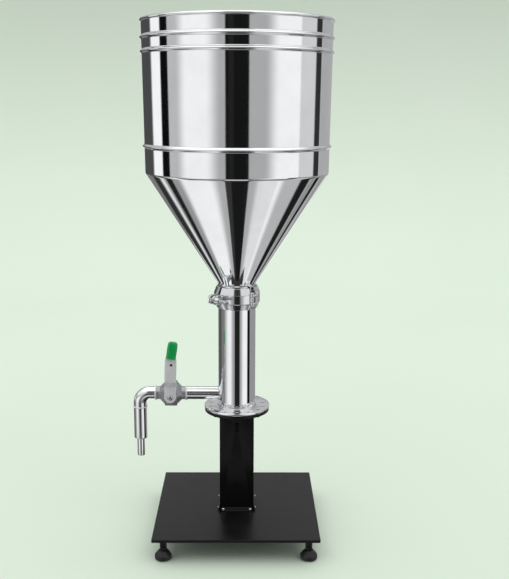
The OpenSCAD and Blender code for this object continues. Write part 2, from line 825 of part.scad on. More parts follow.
module tie_nuts() {
    color("#aeb0b3") for (x = [-1, 1], y = [-1, 1]) translate([x * tie_at, y * tie_at, cyl_low - 4.5])
        difference() {
            cylinder(r = 5.4, h = 4.5, $fn = 6);
            translate([0, 0, -cut]) cylinder(r = tie_r, h = 4.5 + 2 * cut);
        }
}

module air_piston() {
    color("#8c8e92") translate([0, 0, cyl_low + cap_h + air_rest]) difference() {
        cylinder(r = barrel_bore_r - face_gap, h = air_piston_h);
        translate([0, 0, -cut]) cylinder(r = rod_r, h = air_piston_h + 2 * cut);
        translate([0, 0, air_seal_z]) tube(barrel_bore_r + 1, barrel_bore_r - 4, seal_h);
    }
}

module air_piston_seal() {
    color("#2c2c2e") translate([0, 0, cyl_low + cap_h + air_rest + air_seal_z])
        tube(barrel_bore_r - run_gap, barrel_bore_r - 4, seal_h);
}

// Push-in fittings on the back of the post
module air_fittings() {
    start = cap_w / 2 - 8;
    color("#b7b9bc") for (z = port_z) translate([0, start, z]) rotate([-90, 0, 0]) difference() {
        union() {
            cylinder(r = port_thread_r, h = 8);
            translate([0, 0, 8]) cylinder(r = fitting_hex_r, h = 9, $fn = 6);
            translate([0, 0, 17]) cylinder(r = fitting_r, h = 10);
        }
        translate([0, 0, -cut]) cylinder(r = 2, h = 17);
        translate([0, 0, 13]) cylinder(r = hose_r, h = 15);
        translate([0, 0, 24]) cylinder(r = hose_r + 1.6, h = 4);
    }
}

module fitting_collars() {
    color("#2b6cb0") for (z = port_z) translate([0, cap_w / 2 - 8 + 24, z]) rotate([-90, 0, 0])
        difference() {
            union() {
                cylinder(r = hose_r + 1.6, h = 3);
                translate([0, 0, 3]) cylinder(r = hose_r + 2.2, h = 2);
            }
            translate([0, 0, -cut]) cylinder(r = hose_r, h = 5 + 2 * cut);
        }
}

base_plate();
foot_bars();
foot_bar_screws();
post();
post_screws();
foot_pad(0);  // foot_pad_1
foot_pad(1);  // foot_pad_2
foot_pad(2);  // foot_pad_3
foot_pad(3);  // foot_pad_4
foot_stem(0);  // foot_stem_1
foot_stem(1);  // foot_stem_2
foot_stem(2);  // foot_stem_3
foot_stem(3);  // foot_stem_4
bottom_cover();
flange_screws();
pump_cylinder();
clamp_gasket();
hopper_body();
hopper_cone();
clamp_front();
clamp_right();
clamp_left();
hinge_links();
hinge_pins();
swing_bolt();
bolt_pin();
nut_washer();
wing_nut();
union_rings();
valve_body();
valve_end();
valve_seats();
valve_ball();
valve_stem();
stem_packing();
gland_nut();
lever();
lever_plug();
lever_nut();
lever_grip();
outlet_elbow();
drop_ring();
drop_pipe();
nozzle_tip();
piston();
piston_seals();
check_disc();
piston_collar();
piston_rod();
rod_bush();
rod_seal();
air_barrel();
air_caps();
tie_rods();
tie_nuts();
air_piston();
air_piston_seal();
air_fittings();
fitting_collars();
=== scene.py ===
import math

import bmesh
import bpy
from mathutils import Matrix, Vector


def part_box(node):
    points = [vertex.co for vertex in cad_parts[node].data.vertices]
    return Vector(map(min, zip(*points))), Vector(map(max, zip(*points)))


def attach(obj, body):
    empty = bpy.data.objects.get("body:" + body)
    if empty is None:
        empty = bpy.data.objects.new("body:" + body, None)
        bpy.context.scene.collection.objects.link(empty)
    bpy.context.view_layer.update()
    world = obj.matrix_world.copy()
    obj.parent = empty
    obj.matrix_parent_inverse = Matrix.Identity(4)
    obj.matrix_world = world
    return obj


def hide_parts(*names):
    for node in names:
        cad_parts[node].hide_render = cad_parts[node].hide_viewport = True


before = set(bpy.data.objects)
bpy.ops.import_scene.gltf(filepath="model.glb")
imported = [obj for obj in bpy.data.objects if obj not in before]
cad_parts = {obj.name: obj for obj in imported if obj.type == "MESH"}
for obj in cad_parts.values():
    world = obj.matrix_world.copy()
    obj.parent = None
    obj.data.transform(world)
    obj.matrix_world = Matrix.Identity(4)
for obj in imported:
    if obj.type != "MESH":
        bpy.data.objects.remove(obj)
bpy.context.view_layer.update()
print("frame loaded:", len(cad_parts), "nodes")

scene = bpy.context.scene
mm = 0.001

# camera

cameraSetup = {
    "place": (0.018, -1.794, 0.8895),
    "down": 11.82,      # degrees below level
    "right": 0.55,      # degrees from +Y towards +X
    "roll": 0.28,       # degrees, moves the top to the right
    "lens": 56.45,
}


def makeCamera():
    data = bpy.data.cameras.new("camera")
    data.lens = cameraSetup["lens"]
    data.clip_end = 60
    camera = bpy.data.objects.new("camera", data)
    scene.collection.objects.link(camera)
    camera.location = cameraSetup["place"]
    turn = (Matrix.Rotation(math.radians(-cameraSetup["right"]), 3, "Z")
            @ Matrix.Rotation(math.radians(90 - cameraSetup["down"]), 3, "X")
            @ Matrix.Rotation(math.radians(cameraSetup["roll"]), 3, "Z"))
    camera.rotation_euler = turn.to_euler()
    scene.camera = camera


makeCamera()


# nodes and colours

def linear(hexColour):
    # sRGB hex to the linear values that the shaders take
    channels = [int(hexColour[i:i + 2], 16) / 255 for i in (1, 3, 5)]
    return tuple(c / 12.92 if c <= 0.04045 else ((c + 0.055) / 1.055) ** 2.4 for c in channels) + (1,)


def addNode(tree, kind, inputs=None, **settings):
    node = tree.nodes.new(kind)
    for name, value in settings.items():
        setattr(node, name, value)
    for name, value in (inputs or {}).items():
        if isinstance(value, bpy.types.NodeSocket):
            tree.links.new(value, node.inputs[name])
        else:
            node.inputs[name].default_value = value
    return node


def startMaterial(name, **values):
    # A material with one Principled shader, its fixed values, and its Object coordinates
    material = bpy.data.materials.new(name)
    material.use_nodes = True
    tree = material.node_tree
    tree.nodes.clear()
    shader = addNode(tree, "ShaderNodeBsdfPrincipled", {k.replace("_", " "): v for k, v in values.items()})
    addNode(tree, "ShaderNodeOutputMaterial", {"Surface": shader.outputs[0]})
    place = addNode(tree, "ShaderNodeTexCoord").outputs["Object"]
    return material, tree, shader, place


# materials

def mirrorSteel(name, lines, base="#f6f7f8", cloudy="#eceef0", low=0.03, high=0.085):
    # 304 sheet or tube, mirror polished on a wheel: near-sharp reflections, faint polishing lines along the
    # wheel's path, a slow ripple from rolling, and cloudier patches where hands wipe it
    material, tree, shader, place = startMaterial(name, Metallic=1.0)
    stretched = addNode(tree, "ShaderNodeMapping", {"Vector": place, "Scale": lines})
    # polishing lines are about 0.1 mm apart; these are 0.7 to 1.4 mm so that they show
    fine = addNode(tree, "ShaderNodeTexNoise", {"Vector": stretched.outputs[0], "Scale": 1.0, "Detail": 3.0})
    cloud = addNode(tree, "ShaderNodeTexNoise",
                    {"Vector": place, "Scale": 14.0, "Detail": 4.0, "Roughness": 0.6})
    ripple = addNode(tree, "ShaderNodeTexNoise", {"Vector": place, "Scale": 9.0, "Detail": 1.0})
    both = addNode(tree, "ShaderNodeMath", {0: fine.outputs[0], 1: cloud.outputs[0]}, operation="MULTIPLY")
    rough = addNode(tree, "ShaderNodeMapRange", {"Value": both.outputs[0], 1: 0.1, 2: 0.45, 3: low, 4: high})
    tone = addNode(tree, "ShaderNodeMapRange", {"Value": cloud.outputs[0], 1: 0.3, 2: 0.7, 3: 0.0, 4: 1.0})
    colour = addNode(tree, "ShaderNodeMix", {0: tone.outputs[0], 6: linear(base), 7: linear(cloudy)},
                     data_type="RGBA")
    wave = addNode(tree, "ShaderNodeBump",
                   {"Strength": 0.12, "Distance": 0.0012, "Height": ripple.outputs[0]})
    scratch = addNode(tree, "ShaderNodeBump", {"Strength": 0.05, "Distance": 0.00003,
                                               "Height": fine.outputs[0], "Normal": wave.outputs[0]})
    tree.links.new(colour.outputs[2], shader.inputs["Base Color"])
    tree.links.new(rough.outputs[0], shader.inputs["Roughness"])
    tree.links.new(scratch.outputs[0], shader.inputs["Normal"])
    return material


def satinSteel(name, lines, base="#c6c8cb", second="#aeb0b4", rough=(0.2, 0.34), metallic=1.0):
    # Stainless finished with a fine belt: short parallel grain that spreads the highlight
    material, tree, shader, place = startMaterial(name, Metallic=metallic)
    stretched = addNode(tree, "ShaderNodeMapping", {"Vector": place, "Scale": lines})
    # belt grain is 0.05 to 0.1 mm; drawn 0.3 to 1.1 mm apart
    grain = addNode(tree, "ShaderNodeTexNoise", {"Vector": stretched.outputs[0], "Scale": 1.0, "Detail": 4.0})
    patch = addNode(tree, "ShaderNodeTexNoise", {"Vector": place, "Scale": 60.0, "Detail": 3.0})
    tone = addNode(tree, "ShaderNodeMapRange", {"Value": grain.outputs[0], 1: 0.3, 2: 0.7, 3: 0.0, 4: 1.0})
    colour = addNode(tree, "ShaderNodeMix", {0: tone.outputs[0], 6: linear(base), 7: linear(second)},
                     data_type="RGBA")
    spread = addNode(tree, "ShaderNodeMapRange",
                     {"Value": patch.outputs[0], 1: 0.3, 2: 0.7, 3: rough[0], 4: rough[1]})
    bump = addNode(tree, "ShaderNodeBump",
                   {"Strength": 0.25, "Distance": 0.00005, "Height": grain.outputs[0]})
    tree.links.new(colour.outputs[2], shader.inputs["Base Color"])
    tree.links.new(spread.outputs[0], shader.inputs["Roughness"])
    tree.links.new(bump.outputs[0], shader.inputs["Normal"])
    return material


def castSteel():
    # Investment-cast stainless, glass-bead blasted: pale grey, soft sheen, tiny dimples and darker patches
    material, tree, shader, place = startMaterial("castSteel", Metallic=0.75)
    # bead dimples are 0.1 to 0.2 mm; drawn 0.5 mm across
    dimple = addNode(tree, "ShaderNodeTexVoronoi", {"Vector": place, "Scale": 2000.0})
    patch = addNode(tree, "ShaderNodeTexNoise", {"Vector": place, "Scale": 120.0, "Detail": 5.0})
    tone = addNode(tree, "ShaderNodeMapRange", {"Value": patch.outputs[0], 1: 0.3, 2: 0.7, 3: 0.0, 4: 1.0})
    colour = addNode(tree, "ShaderNodeMix", {0: tone.outputs[0], 6: linear("#c3c4c7"), 7: linear("#9fa1a5")},
                     data_type="RGBA")
    spread = addNode(tree, "ShaderNodeMapRange", {"Value": patch.outputs[0], 1: 0.3, 2: 0.7, 3: 0.3, 4: 0.44})
    bump = addNode(tree, "ShaderNodeBump",
                   {"Strength": 0.35, "Distance": 0.0001, "Height": dimple.outputs[0]})
    tree.links.new(colour.outputs[2], shader.inputs["Base Color"])
    tree.links.new(spread.outputs[0], shader.inputs["Roughness"])
    tree.links.new(bump.outputs[0], shader.inputs["Normal"])
    return material


def powderCoat(name, base, pale, rough=(0.3, 0.42)):
    # Satin polyester powder coat on steel: deep black with a pale sheen and the orange peel of flowed powder
    material, tree, shader, place = startMaterial(name, Specular_IOR_Level=0.3)
    # the peel of a satin coat is 0.8 to 1.5 mm across
    peel = addNode(tree, "ShaderNodeTexNoise", {"Vector": place, "Scale": 900.0, "Detail": 2.0})
    dust = addNode(tree, "ShaderNodeTexNoise",
                   {"Vector": place, "Scale": 22.0, "Detail": 6.0, "Roughness": 0.65})
    tone = addNode(tree, "ShaderNodeMapRange", {"Value": dust.outputs[0], 1: 0.4, 2: 0.75, 3: 0.0, 4: 1.0})
    colour = addNode(tree, "ShaderNodeMix", {0: tone.outputs[0], 6: linear(base), 7: linear(pale)},
                     data_type="RGBA")
    spread = addNode(tree, "ShaderNodeMapRange",
                     {"Value": dust.outputs[0], 1: 0.3, 2: 0.75, 3: rough[0], 4: rough[1]})
    bump = addNode(tree, "ShaderNodeBump", {"Strength": 0.3, "Distance": 0.00012, "Height": peel.outputs[0]})
    tree.links.new(colour.outputs[2], shader.inputs["Base Color"])
    tree.links.new(spread.outputs[0], shader.inputs["Roughness"])
    tree.links.new(bump.outputs[0], shader.inputs["Normal"])
    return material


def mouldedPlastic(name, base, second, rough=(0.35, 0.5), grain=1400.0, depth=0.00006, **extra):
    # Moulded nylon, acetal, PTFE or rubber, or dipped vinyl: even colour with a faint mottle and a fine
    # spark-eroded skin
    material, tree, shader, place = startMaterial(name, **extra)
    skin = addNode(tree, "ShaderNodeTexNoise", {"Vector": place, "Scale": grain, "Detail": 3.0})
    flow = addNode(tree, "ShaderNodeTexNoise", {"Vector": place, "Scale": 90.0, "Detail": 4.0})
    tone = addNode(tree, "ShaderNodeMapRange", {"Value": flow.outputs[0], 1: 0.3, 2: 0.7, 3: 0.0, 4: 1.0})
    colour = addNode(tree, "ShaderNodeMix", {0: tone.outputs[0], 6: linear(base), 7: linear(second)},
                     data_type="RGBA")
    spread = addNode(tree, "ShaderNodeMapRange",
                     {"Value": flow.outputs[0], 1: 0.3, 2: 0.7, 3: rough[0], 4: rough[1]})
    bump = addNode(tree, "ShaderNodeBump", {"Strength": 0.3, "Distance": depth, "Height": skin.outputs[0]})
    tree.links.new(colour.outputs[2], shader.inputs["Base Color"])
    tree.links.new(spread.outputs[0], shader.inputs["Roughness"])
    tree.links.new(bump.outputs[0], shader.inputs["Normal"])
    return material


def dullMetal(name, base, second, rough=(0.25, 0.4), scale=300.0):
    # Turned or plated metal: fine tool marks, and slightly darker where the plating is thin
    material, tree, shader, place = startMaterial(name, Metallic=1.0)
    marks = addNode(tree, "ShaderNodeTexNoise", {"Vector": place, "Scale": scale, "Detail": 5.0})
    tone = addNode(tree, "ShaderNodeMapRange", {"Value": marks.outputs[0], 1: 0.3, 2: 0.7, 3: 0.0, 4: 1.0})
    colour = addNode(tree, "ShaderNodeMix", {0: tone.outputs[0], 6: linear(base), 7: linear(second)},
                     data_type="RGBA")
    spread = addNode(tree, "ShaderNodeMapRange",
                     {"Value": marks.outputs[0], 1: 0.3, 2: 0.7, 3: rough[0], 4: rough[1]})
    bump = addNode(tree, "ShaderNodeBump", {"Strength": 0.2, "Distance": 0.00006, "Height": marks.outputs[0]})
    tree.links.new(colour.outputs[2], shader.inputs["Base Color"])
    tree.links.new(spread.outputs[0], shader.inputs["Roughness"])
    tree.links.new(bump.outputs[0], shader.inputs["Normal"])
    return material


finish = {
    "roundMirror": mirrorSteel("mirrorPolishedRound", (60, 60, 1250)),       # polished round an upright axis
    # polished round the outlet, then round the drop pipe
    "pipeMirror": mirrorSteel("brightPolishedPipe", (1250, 60, 60), low=0.13, high=0.22),
    "dropMirror": mirrorSteel("brightPolishedDrop", (60, 60, 1250), low=0.1, high=0.18),
    "flatMirror": mirrorSteel("mirrorPolishedFace", (700, 90, 90), low=0.05, high=0.14),
    # steel ring drawn near-white and barely metallic: the white base is a painted highlight, standing in for
    # the bright line the ring's edge reflects
    "ring": satinSteel("turnedRingWithPaintedHighlight", (2500, 2500, 2500), base="#fafafb", second="#eeeff0",
                       rough=(0.2, 0.28), metallic=0.2),
    "weld": satinSteel("brushedWeld", (900, 900, 900), base="#d5d7da", second="#c0c2c6", rough=(0.18, 0.3)),
    "clamp": mirrorSteel("tumbledClamp", (1500, 1500, 300), base="#e9eaec", cloudy="#dcdee0", low=0.08,
                         high=0.16),
    # steel blade drawn near-white and barely metallic: the white base is painted reflection, standing in for
    # the bright light the belted steel reflects
    "lever": satinSteel("beltedLeverWithPaintedReflection", (3000, 3000, 200), base="#f7f7f8", second="#ebecee",
                        rough=(0.24, 0.36), metallic=0.2),
    "cast": castSteel(),
    "screw": satinSteel("brightScrew", (2500, 2500, 2500), base="#d8dadd", rough=(0.16, 0.26)),
    "blackScrew": dullMetal("blackOxide", "#1a1a1c", "#2a2a2d", rough=(0.35, 0.5)),
    "coat": powderCoat("satinBlackPowderCoat", "#0b0b0c", "#141416"),
    "bar": powderCoat("greyBlackPowderCoat", "#2b2b2e", "#3a3a3e"),
    "foot": mouldedPlastic("blackNylon", "#111113", "#19191b"),
    "stem": dullMetal("blackZinc", "#2a2a2e", "#3a3b40"),
    "seal": mouldedPlastic("whitePtfe", "#ecebe6", "#dfddd6", rough=(0.4, 0.5)),
    "acetal": mouldedPlastic("naturalAcetal", "#ebe8e0", "#dedad0", rough=(0.3, 0.42)),
    "rubber": mouldedPlastic("blackRubber", "#151516", "#1f1f20", rough=(0.55, 0.7), grain=900.0),
    "bronze": dullMetal("sinteredBronze", "#b08a4a", "#8f6c36", rough=(0.35, 0.5), scale=1500.0),
    "alloy": dullMetal("anodisedAluminium", "#9fa1a6", "#8c8e93", rough=(0.38, 0.48), scale=800.0),
    "nickel": dullMetal("nickelPlatedBrass", "#cfccc4", "#bbb8b0", rough=(0.14, 0.24)),
    "blue": mouldedPlastic("blueAcetal", "#1f5fae", "#1a5298", rough=(0.3, 0.4)),
    "green": mouldedPlastic("dippedVinyl", "#06b85c", "#04a650", rough=(0.26, 0.36), grain=500.0,
                            depth=0.0001,
                            Coat_Weight=0.35, Coat_Roughness=0.15),
}
print("materials made:", len(finish))


# Geometry Nodes trees

def startTree(name, sockets):
    tree = bpy.data.node_groups.new(name, "GeometryNodeTree")
    for socketName, kind, value in sockets:
        socket = tree.interface.new_socket(socketName, in_out="INPUT", socket_type=kind)
        if value is not None:
            socket.default_value = value
    tree.interface.new_socket("Geometry", in_out="OUTPUT", socket_type="NodeSocketGeometry")
    return tree, addNode(tree, "NodeGroupInput").outputs


def endTree(tree, geometry, material, sharpAbove=32):
    # Sharp edges above an angle, then real geometry with its material
    angle = addNode(tree, "GeometryNodeInputMeshEdgeAngle").outputs["Unsigned Angle"]
    isSharp = addNode(tree, "FunctionNodeCompare", {0: angle, 1: math.radians(sharpAbove)},
                      operation="GREATER_THAN")
    real = addNode(tree, "GeometryNodeRealizeInstances", {"Geometry": geometry})
    smooth = addNode(tree, "GeometryNodeSetShadeSmooth", {"Geometry": real.outputs[0]})
    edges = addNode(tree, "GeometryNodeSetShadeSmooth",
                    {"Geometry": smooth.outputs[0], "Selection": isSharp.outputs[0], "Shade Smooth": False},
                    domain="EDGE")
    done = addNode(tree, "GeometryNodeSetMaterial", {"Geometry": edges.outputs[0], "Material": material})
    addNode(tree, "NodeGroupOutput", {0: done.outputs[0]})


def turnedTree():
    # Turns an outline in the XZ plane round the Z axis
    tree, given = startTree("turnedOutline", [
        ("Outline", "NodeSocketGeometry", None), ("Steps", "NodeSocketInt", 96),
        ("Closed", "NodeSocketInt", 1),
        ("From", "NodeSocketFloat", 0.0), ("Sweep", "NodeSocketFloat", 2 * math.pi),
        ("Material", "NodeSocketMaterial", None)])
    outline = given["Outline"]
    count = addNode(tree, "GeometryNodeAttributeDomainSize", {"Geometry": outline}).outputs["Point Count"]
    rows = addNode(tree, "ShaderNodeMath", {0: count, 1: given["Closed"]}, operation="ADD").outputs[0]
    columns = addNode(tree, "ShaderNodeMath", {0: given["Steps"], 1: 1.0}, operation="ADD").outputs[0]
    grid = addNode(tree, "GeometryNodeMeshGrid", {"Vertices X": rows, "Vertices Y": columns})
    index = addNode(tree, "GeometryNodeInputIndex").outputs[0]
    column = addNode(tree, "ShaderNodeMath", {0: index, 1: columns}, operation="MODULO").outputs[0]
    share = addNode(tree, "ShaderNodeMath", {0: index, 1: columns}, operation="DIVIDE").outputs[0]
    wholeRows = addNode(tree, "ShaderNodeMath", {0: share}, operation="FLOOR").outputs[0]
    row = addNode(tree, "ShaderNodeMath", {0: wholeRows, 1: count}, operation="MODULO").outputs[0]
    place = addNode(tree, "GeometryNodeInputPosition").outputs[0]
    point = addNode(tree, "GeometryNodeSampleIndex", {"Geometry": outline, "Value": place, "Index": row},
                    data_type="FLOAT_VECTOR")
    part = addNode(tree, "ShaderNodeSeparateXYZ", {0: point.outputs[0]}).outputs
    done = addNode(tree, "ShaderNodeMath", {0: column, 1: given["Steps"]}, operation="DIVIDE").outputs[0]
    swept = addNode(tree, "ShaderNodeMath", {0: given["Sweep"], 1: done}, operation="MULTIPLY").outputs[0]
    angle = addNode(tree, "ShaderNodeMath", {0: given["From"], 1: swept}, operation="ADD").outputs[0]
    cosine = addNode(tree, "ShaderNodeMath", {0: angle}, operation="COSINE").outputs[0]
    sine = addNode(tree, "ShaderNodeMath", {0: angle}, operation="SINE").outputs[0]
    x = addNode(tree, "ShaderNodeMath", {0: part["X"], 1: cosine}, operation="MULTIPLY").outputs[0]
    y = addNode(tree, "ShaderNodeMath", {0: part["X"], 1: sine}, operation="MULTIPLY").outputs[0]
    turned = addNode(tree, "ShaderNodeCombineXYZ", {0: x, 1: y, 2: part["Z"]})
    moved = addNode(tree, "GeometryNodeSetPosition",
                    {"Geometry": grid.outputs[0], "Position": turned.outputs[0]})
    merged = addNode(tree, "GeometryNodeMergeByDistance", {"Geometry": moved.outputs[0], "Distance": 1e-6})
    endTree(tree, merged.outputs[0], given["Material"])
    return tree


def ringTree():
    # Sets copies of a part round the Z axis
    tree, given = startTree("partsInRing", [
        ("Geometry", "NodeSocketGeometry", None), ("Part", "NodeSocketObject", None),
        ("Count", "NodeSocketInt", 8),
        ("Radius", "NodeSocketFloat", 0.05), ("Height", "NodeSocketFloat", 0.0),
        ("First angle", "NodeSocketFloat", 0.0),
        ("Material", "NodeSocketMaterial", None)])
    part = addNode(tree, "GeometryNodeObjectInfo", {"Object": given["Part"]}).outputs["Geometry"]
    points = addNode(tree, "GeometryNodePoints", {"Count": given["Count"]})
    index = addNode(tree, "GeometryNodeInputIndex").outputs[0]
    share = addNode(tree, "ShaderNodeMath", {0: index, 1: given["Count"]}, operation="DIVIDE")
    angle = addNode(tree, "ShaderNodeMath", {0: share.outputs[0], 1: 2 * math.pi, 2: given["First angle"]},
                    operation="MULTIPLY_ADD").outputs[0]
    cosine = addNode(tree, "ShaderNodeMath", {0: angle}, operation="COSINE").outputs[0]
    sine = addNode(tree, "ShaderNodeMath", {0: angle}, operation="SINE").outputs[0]
    x = addNode(tree, "ShaderNodeMath", {0: cosine, 1: given["Radius"]}, operation="MULTIPLY")
    y = addNode(tree, "ShaderNodeMath", {0: sine, 1: given["Radius"]}, operation="MULTIPLY")
    place = addNode(tree, "ShaderNodeCombineXYZ", {0: x.outputs[0], 1: y.outputs[0], 2: given["Height"]})
    spread = addNode(tree, "GeometryNodeSetPosition",
                     {"Geometry": points.outputs[0], "Position": place.outputs[0]})
    turn = addNode(tree, "ShaderNodeCombineXYZ", {2: angle})
    copies = addNode(tree, "GeometryNodeInstanceOnPoints",
                     {"Points": spread.outputs[0], "Instance": part, "Rotation": turn.outputs[0]})
    endTree(tree, copies.outputs[0], given["Material"])
    return tree


def placedTree():
    # Sets a copy of a part on each point, its Z axis along the point's "facing" vector
    tree, given = startTree("partsOnPoints", [
        ("Geometry", "NodeSocketGeometry", None), ("Part", "NodeSocketObject", None),
        ("Material", "NodeSocketMaterial", None)])
    part = addNode(tree, "GeometryNodeObjectInfo", {"Object": given["Part"]}).outputs["Geometry"]
    facing = addNode(tree, "GeometryNodeInputNamedAttribute", {"Name": "facing"},
                     data_type="FLOAT_VECTOR").outputs[0]
    turn = addNode(tree, "FunctionNodeAlignRotationToVector", {"Vector": facing}, axis="Z")
    copies = addNode(tree, "GeometryNodeInstanceOnPoints",
                     {"Points": given["Geometry"], "Instance": part, "Rotation": turn.outputs[0]})
    endTree(tree, copies.outputs[0], given["Material"])
    return tree


def pipeTree():
    # Sweeps a round pipe along a path
    tree, given = startTree("pipeOnPath", [
        ("Path", "NodeSocketGeometry", None), ("Radius", "NodeSocketFloat", 0.01),
        ("Steps", "NodeSocketInt", 64),
        ("Material", "NodeSocketMaterial", None)])
    path = addNode(tree, "GeometryNodeMeshToCurve", {"Mesh": given["Path"]})
    circle = addNode(tree, "GeometryNodeCurvePrimitiveCircle",
                     {"Resolution": given["Steps"], "Radius": given["Radius"]})
    swept = addNode(tree, "GeometryNodeCurveToMesh",
                    {"Curve": path.outputs[0], "Profile Curve": circle.outputs[0]})
    endTree(tree, swept.outputs[0], given["Material"], sharpAbove=40)
    return tree


trees = {"turned": turnedTree(), "ring": ringTree(), "placed": placedTree(), "pipe": pipeTree()}
print("node trees made:", len(trees))


# making pieces

def newObject(name, data):
    piece = bpy.data.objects.new(name, data)
    scene.collection.objects.link(piece)
    return piece


def cleanMesh(mesh, caps=False):
    shape = bmesh.new()
    shape.from_mesh(mesh)
    bmesh.ops.remove_doubles(shape, verts=shape.verts, dist=1e-6)
    bmesh.ops.dissolve_degenerate(shape, edges=shape.edges, dist=1e-7)
    if caps:
        bmesh.ops.holes_fill(shape, edges=[e for e in shape.edges if e.is_boundary])
    bmesh.ops.recalc_face_normals(shape, faces=shape.faces)
    shape.to_mesh(mesh)
    shape.free()


def plainMesh(source, name, place=None, caps=False):
    # The evaluated shape as a mesh of its own, moved to its place; the source is removed
    bpy.context.view_layer.update()
    seen = source.evaluated_get(bpy.context.evaluated_depsgraph_get())
    mesh = bpy.data.meshes.new_from_object(seen)
    bpy.data.objects.remove(source)
    # the tree leaves an empty slot before its own material
    material = next((m for m in mesh.materials if m), None)
    mesh.materials.clear()
    mesh.materials.append(material)
    mesh.polygons.foreach_set("material_index", [0] * len(mesh.polygons))
    cleanMesh(mesh, caps)
    mesh.transform(place or Matrix.Identity(4))
    mesh.name = name
    return newObject(name, mesh)


def runTree(source, tree, values):
    modifier = source.modifiers.new("shape", "NODES")
    modifier.node_group = tree
    for socket in tree.interface.items_tree:
        if socket.in_out == "INPUT" and socket.name in values:
            modifier[socket.identifier] = values[socket.name]


def pathMesh(name, points, closed=False):
    mesh = bpy.data.meshes.new(name)
    last = len(points) - 1
    edges = [(i, i + 1) for i in range(last)] + ([(last, 0)] if closed else [])
    mesh.from_pydata(points, edges, [])
    return mesh


def rounded(corners, closed=True, steps=5):
    # Corners are (x, z) or (x, z, radius); returns points with each such corner rounded
    points = []
    count = len(corners)
    for i, corner in enumerate(corners):
        here = Vector(corner[:2])
        radius = corner[2] if len(corner) > 2 else 0
        if radius == 0 or (not closed and i in (0, count - 1)):
            points.append(tuple(here))
            continue
        before = Vector(corners[i - 1][:2]) - here
        after = Vector(corners[(i + 1) % count][:2]) - here
        half = before.angle(after) / 2
        reach = min(radius / math.tan(half), before.length * 0.49, after.length * 0.49)
        radius = reach * math.tan(half)
        middle = here + (before.normalized() + after.normalized()).normalized() * (radius / math.sin(half))
        start, end = here + before.normalized() * reach - middle, here + after.normalized() * reach - middle
        first = math.atan2(start.y, start.x)
        turn = (math.atan2(end.y, end.x) - first + math.pi) % (2 * math.pi) - math.pi
        for k in range(steps + 1):
            a = first + turn * k / steps
            points.append((middle.x + radius * math.cos(a), middle.y + radius * math.sin(a)))
    return points


def supported(points, closed, longer=4, near=0.8):
    # Adds a point close to both ends of every long stretch, so that smooth shading stays in the bends
    result = []
    for i, point in enumerate(points):
        result.append(tuple(point))
        if i == len(points) - 1 and not closed:
            break
        here, there = Vector(point), Vector(points[(i + 1) % len(points)])
        span = there - here
        if span.length > longer:
            step = span.normalized() * near
            result += [tuple(here + step), tuple(there - step)]
    return result


def finishPiece(piece, body, replaced=()):
    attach(piece, body)
    if replaced:
        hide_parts(*replaced)
    return piece


def turnedPart(name, points, material, steps=96, closed=True, place=None, start=0, sweep=360, support=True):
    # points are (radius, height) in mm
    if support:
        points = supported(points, closed)
    source = newObject(name + "Outline", pathMesh(name, [(r * mm, 0, z * mm) for r, z in points], closed))
    runTree(source, trees["turned"], {"Steps": steps, "Closed": int(closed), "Material": finish[material],
                                      "From": math.radians(start), "Sweep": math.radians(sweep)})
    return plainMesh(source, name, place, caps=sweep < 360)


def placedParts(name, part, spots, material):
    # spots are (place, facing) pairs in metres; part is used up
    mesh = bpy.data.meshes.new(name)
    mesh.from_pydata([spot for spot, facing in spots], [], [])
    facings = mesh.attributes.new("facing", "FLOAT_VECTOR", "POINT")
    for i, (spot, facing) in enumerate(spots):
        facings.data[i].vector = facing
    source = newObject(name + "Points", mesh)
    runTree(source, trees["placed"], {"Part": part, "Material": finish[material]})
    piece = plainMesh(source, name)
    bpy.data.objects.remove(part)
    return piece


def ringParts(name, part, count, radius, height, first, material):
    source = newObject(name + "Ring", bpy.data.meshes.new(name))
    runTree(source, trees["ring"], {"Part": part, "Count": count, "Radius": radius * mm,
                                    "Height": height * mm,
                                    "First angle": math.radians(first), "Material": finish[material]})
    piece = plainMesh(source, name)
    bpy.data.objects.remove(part)
    return piece


def joinPieces(name, pieces):
    shape = bmesh.new()
    material = pieces[0].data.materials[0]
    for piece in pieces:
        shape.from_mesh(piece.data)
    mesh = bpy.data.meshes.new(name)
    shape.to_mesh(mesh)
    shape.free()
    mesh.materials.append(material)
    for piece in pieces:
        bpy.data.objects.remove(piece)
    return newObject(name, mesh)


def flatPlate(name, loops, thickness, edge, material, place=None):
    # A plate with holes from flat loops in mm; its underside is at z = 0 and its edges are eased
    curve = bpy.data.curves.new(name, "CURVE")
    curve.dimensions = "2D"
    curve.fill_mode = "BOTH"
    curve.extrude = (thickness / 2 - edge) * mm
    curve.bevel_depth = edge * mm
    curve.bevel_resolution = 2
    curve.offset = -edge * mm
    for loop in loops:
        spline = curve.splines.new("POLY")
        spline.points.add(len(loop) - 1)
        for point, (x, y) in zip(spline.points, loop):
            point.co = (x * mm, y * mm, 0, 1)
        spline.use_cyclic_u = True
    curve.materials.append(finish[material])
    lift = Matrix.Translation((0, 0, thickness / 2 * mm))
    piece = plainMesh(newObject(name + "Curve", curve), name, (place or Matrix.Identity(4)) @ lift)
    shadeByAngle(piece, 35)
    return piece


def shadeByAngle(piece, degrees):
    mesh = piece.data
    mesh.polygons.foreach_set("use_smooth", [True] * len(mesh.polygons))
    mesh.set_sharp_from_angle(angle=math.radians(degrees))


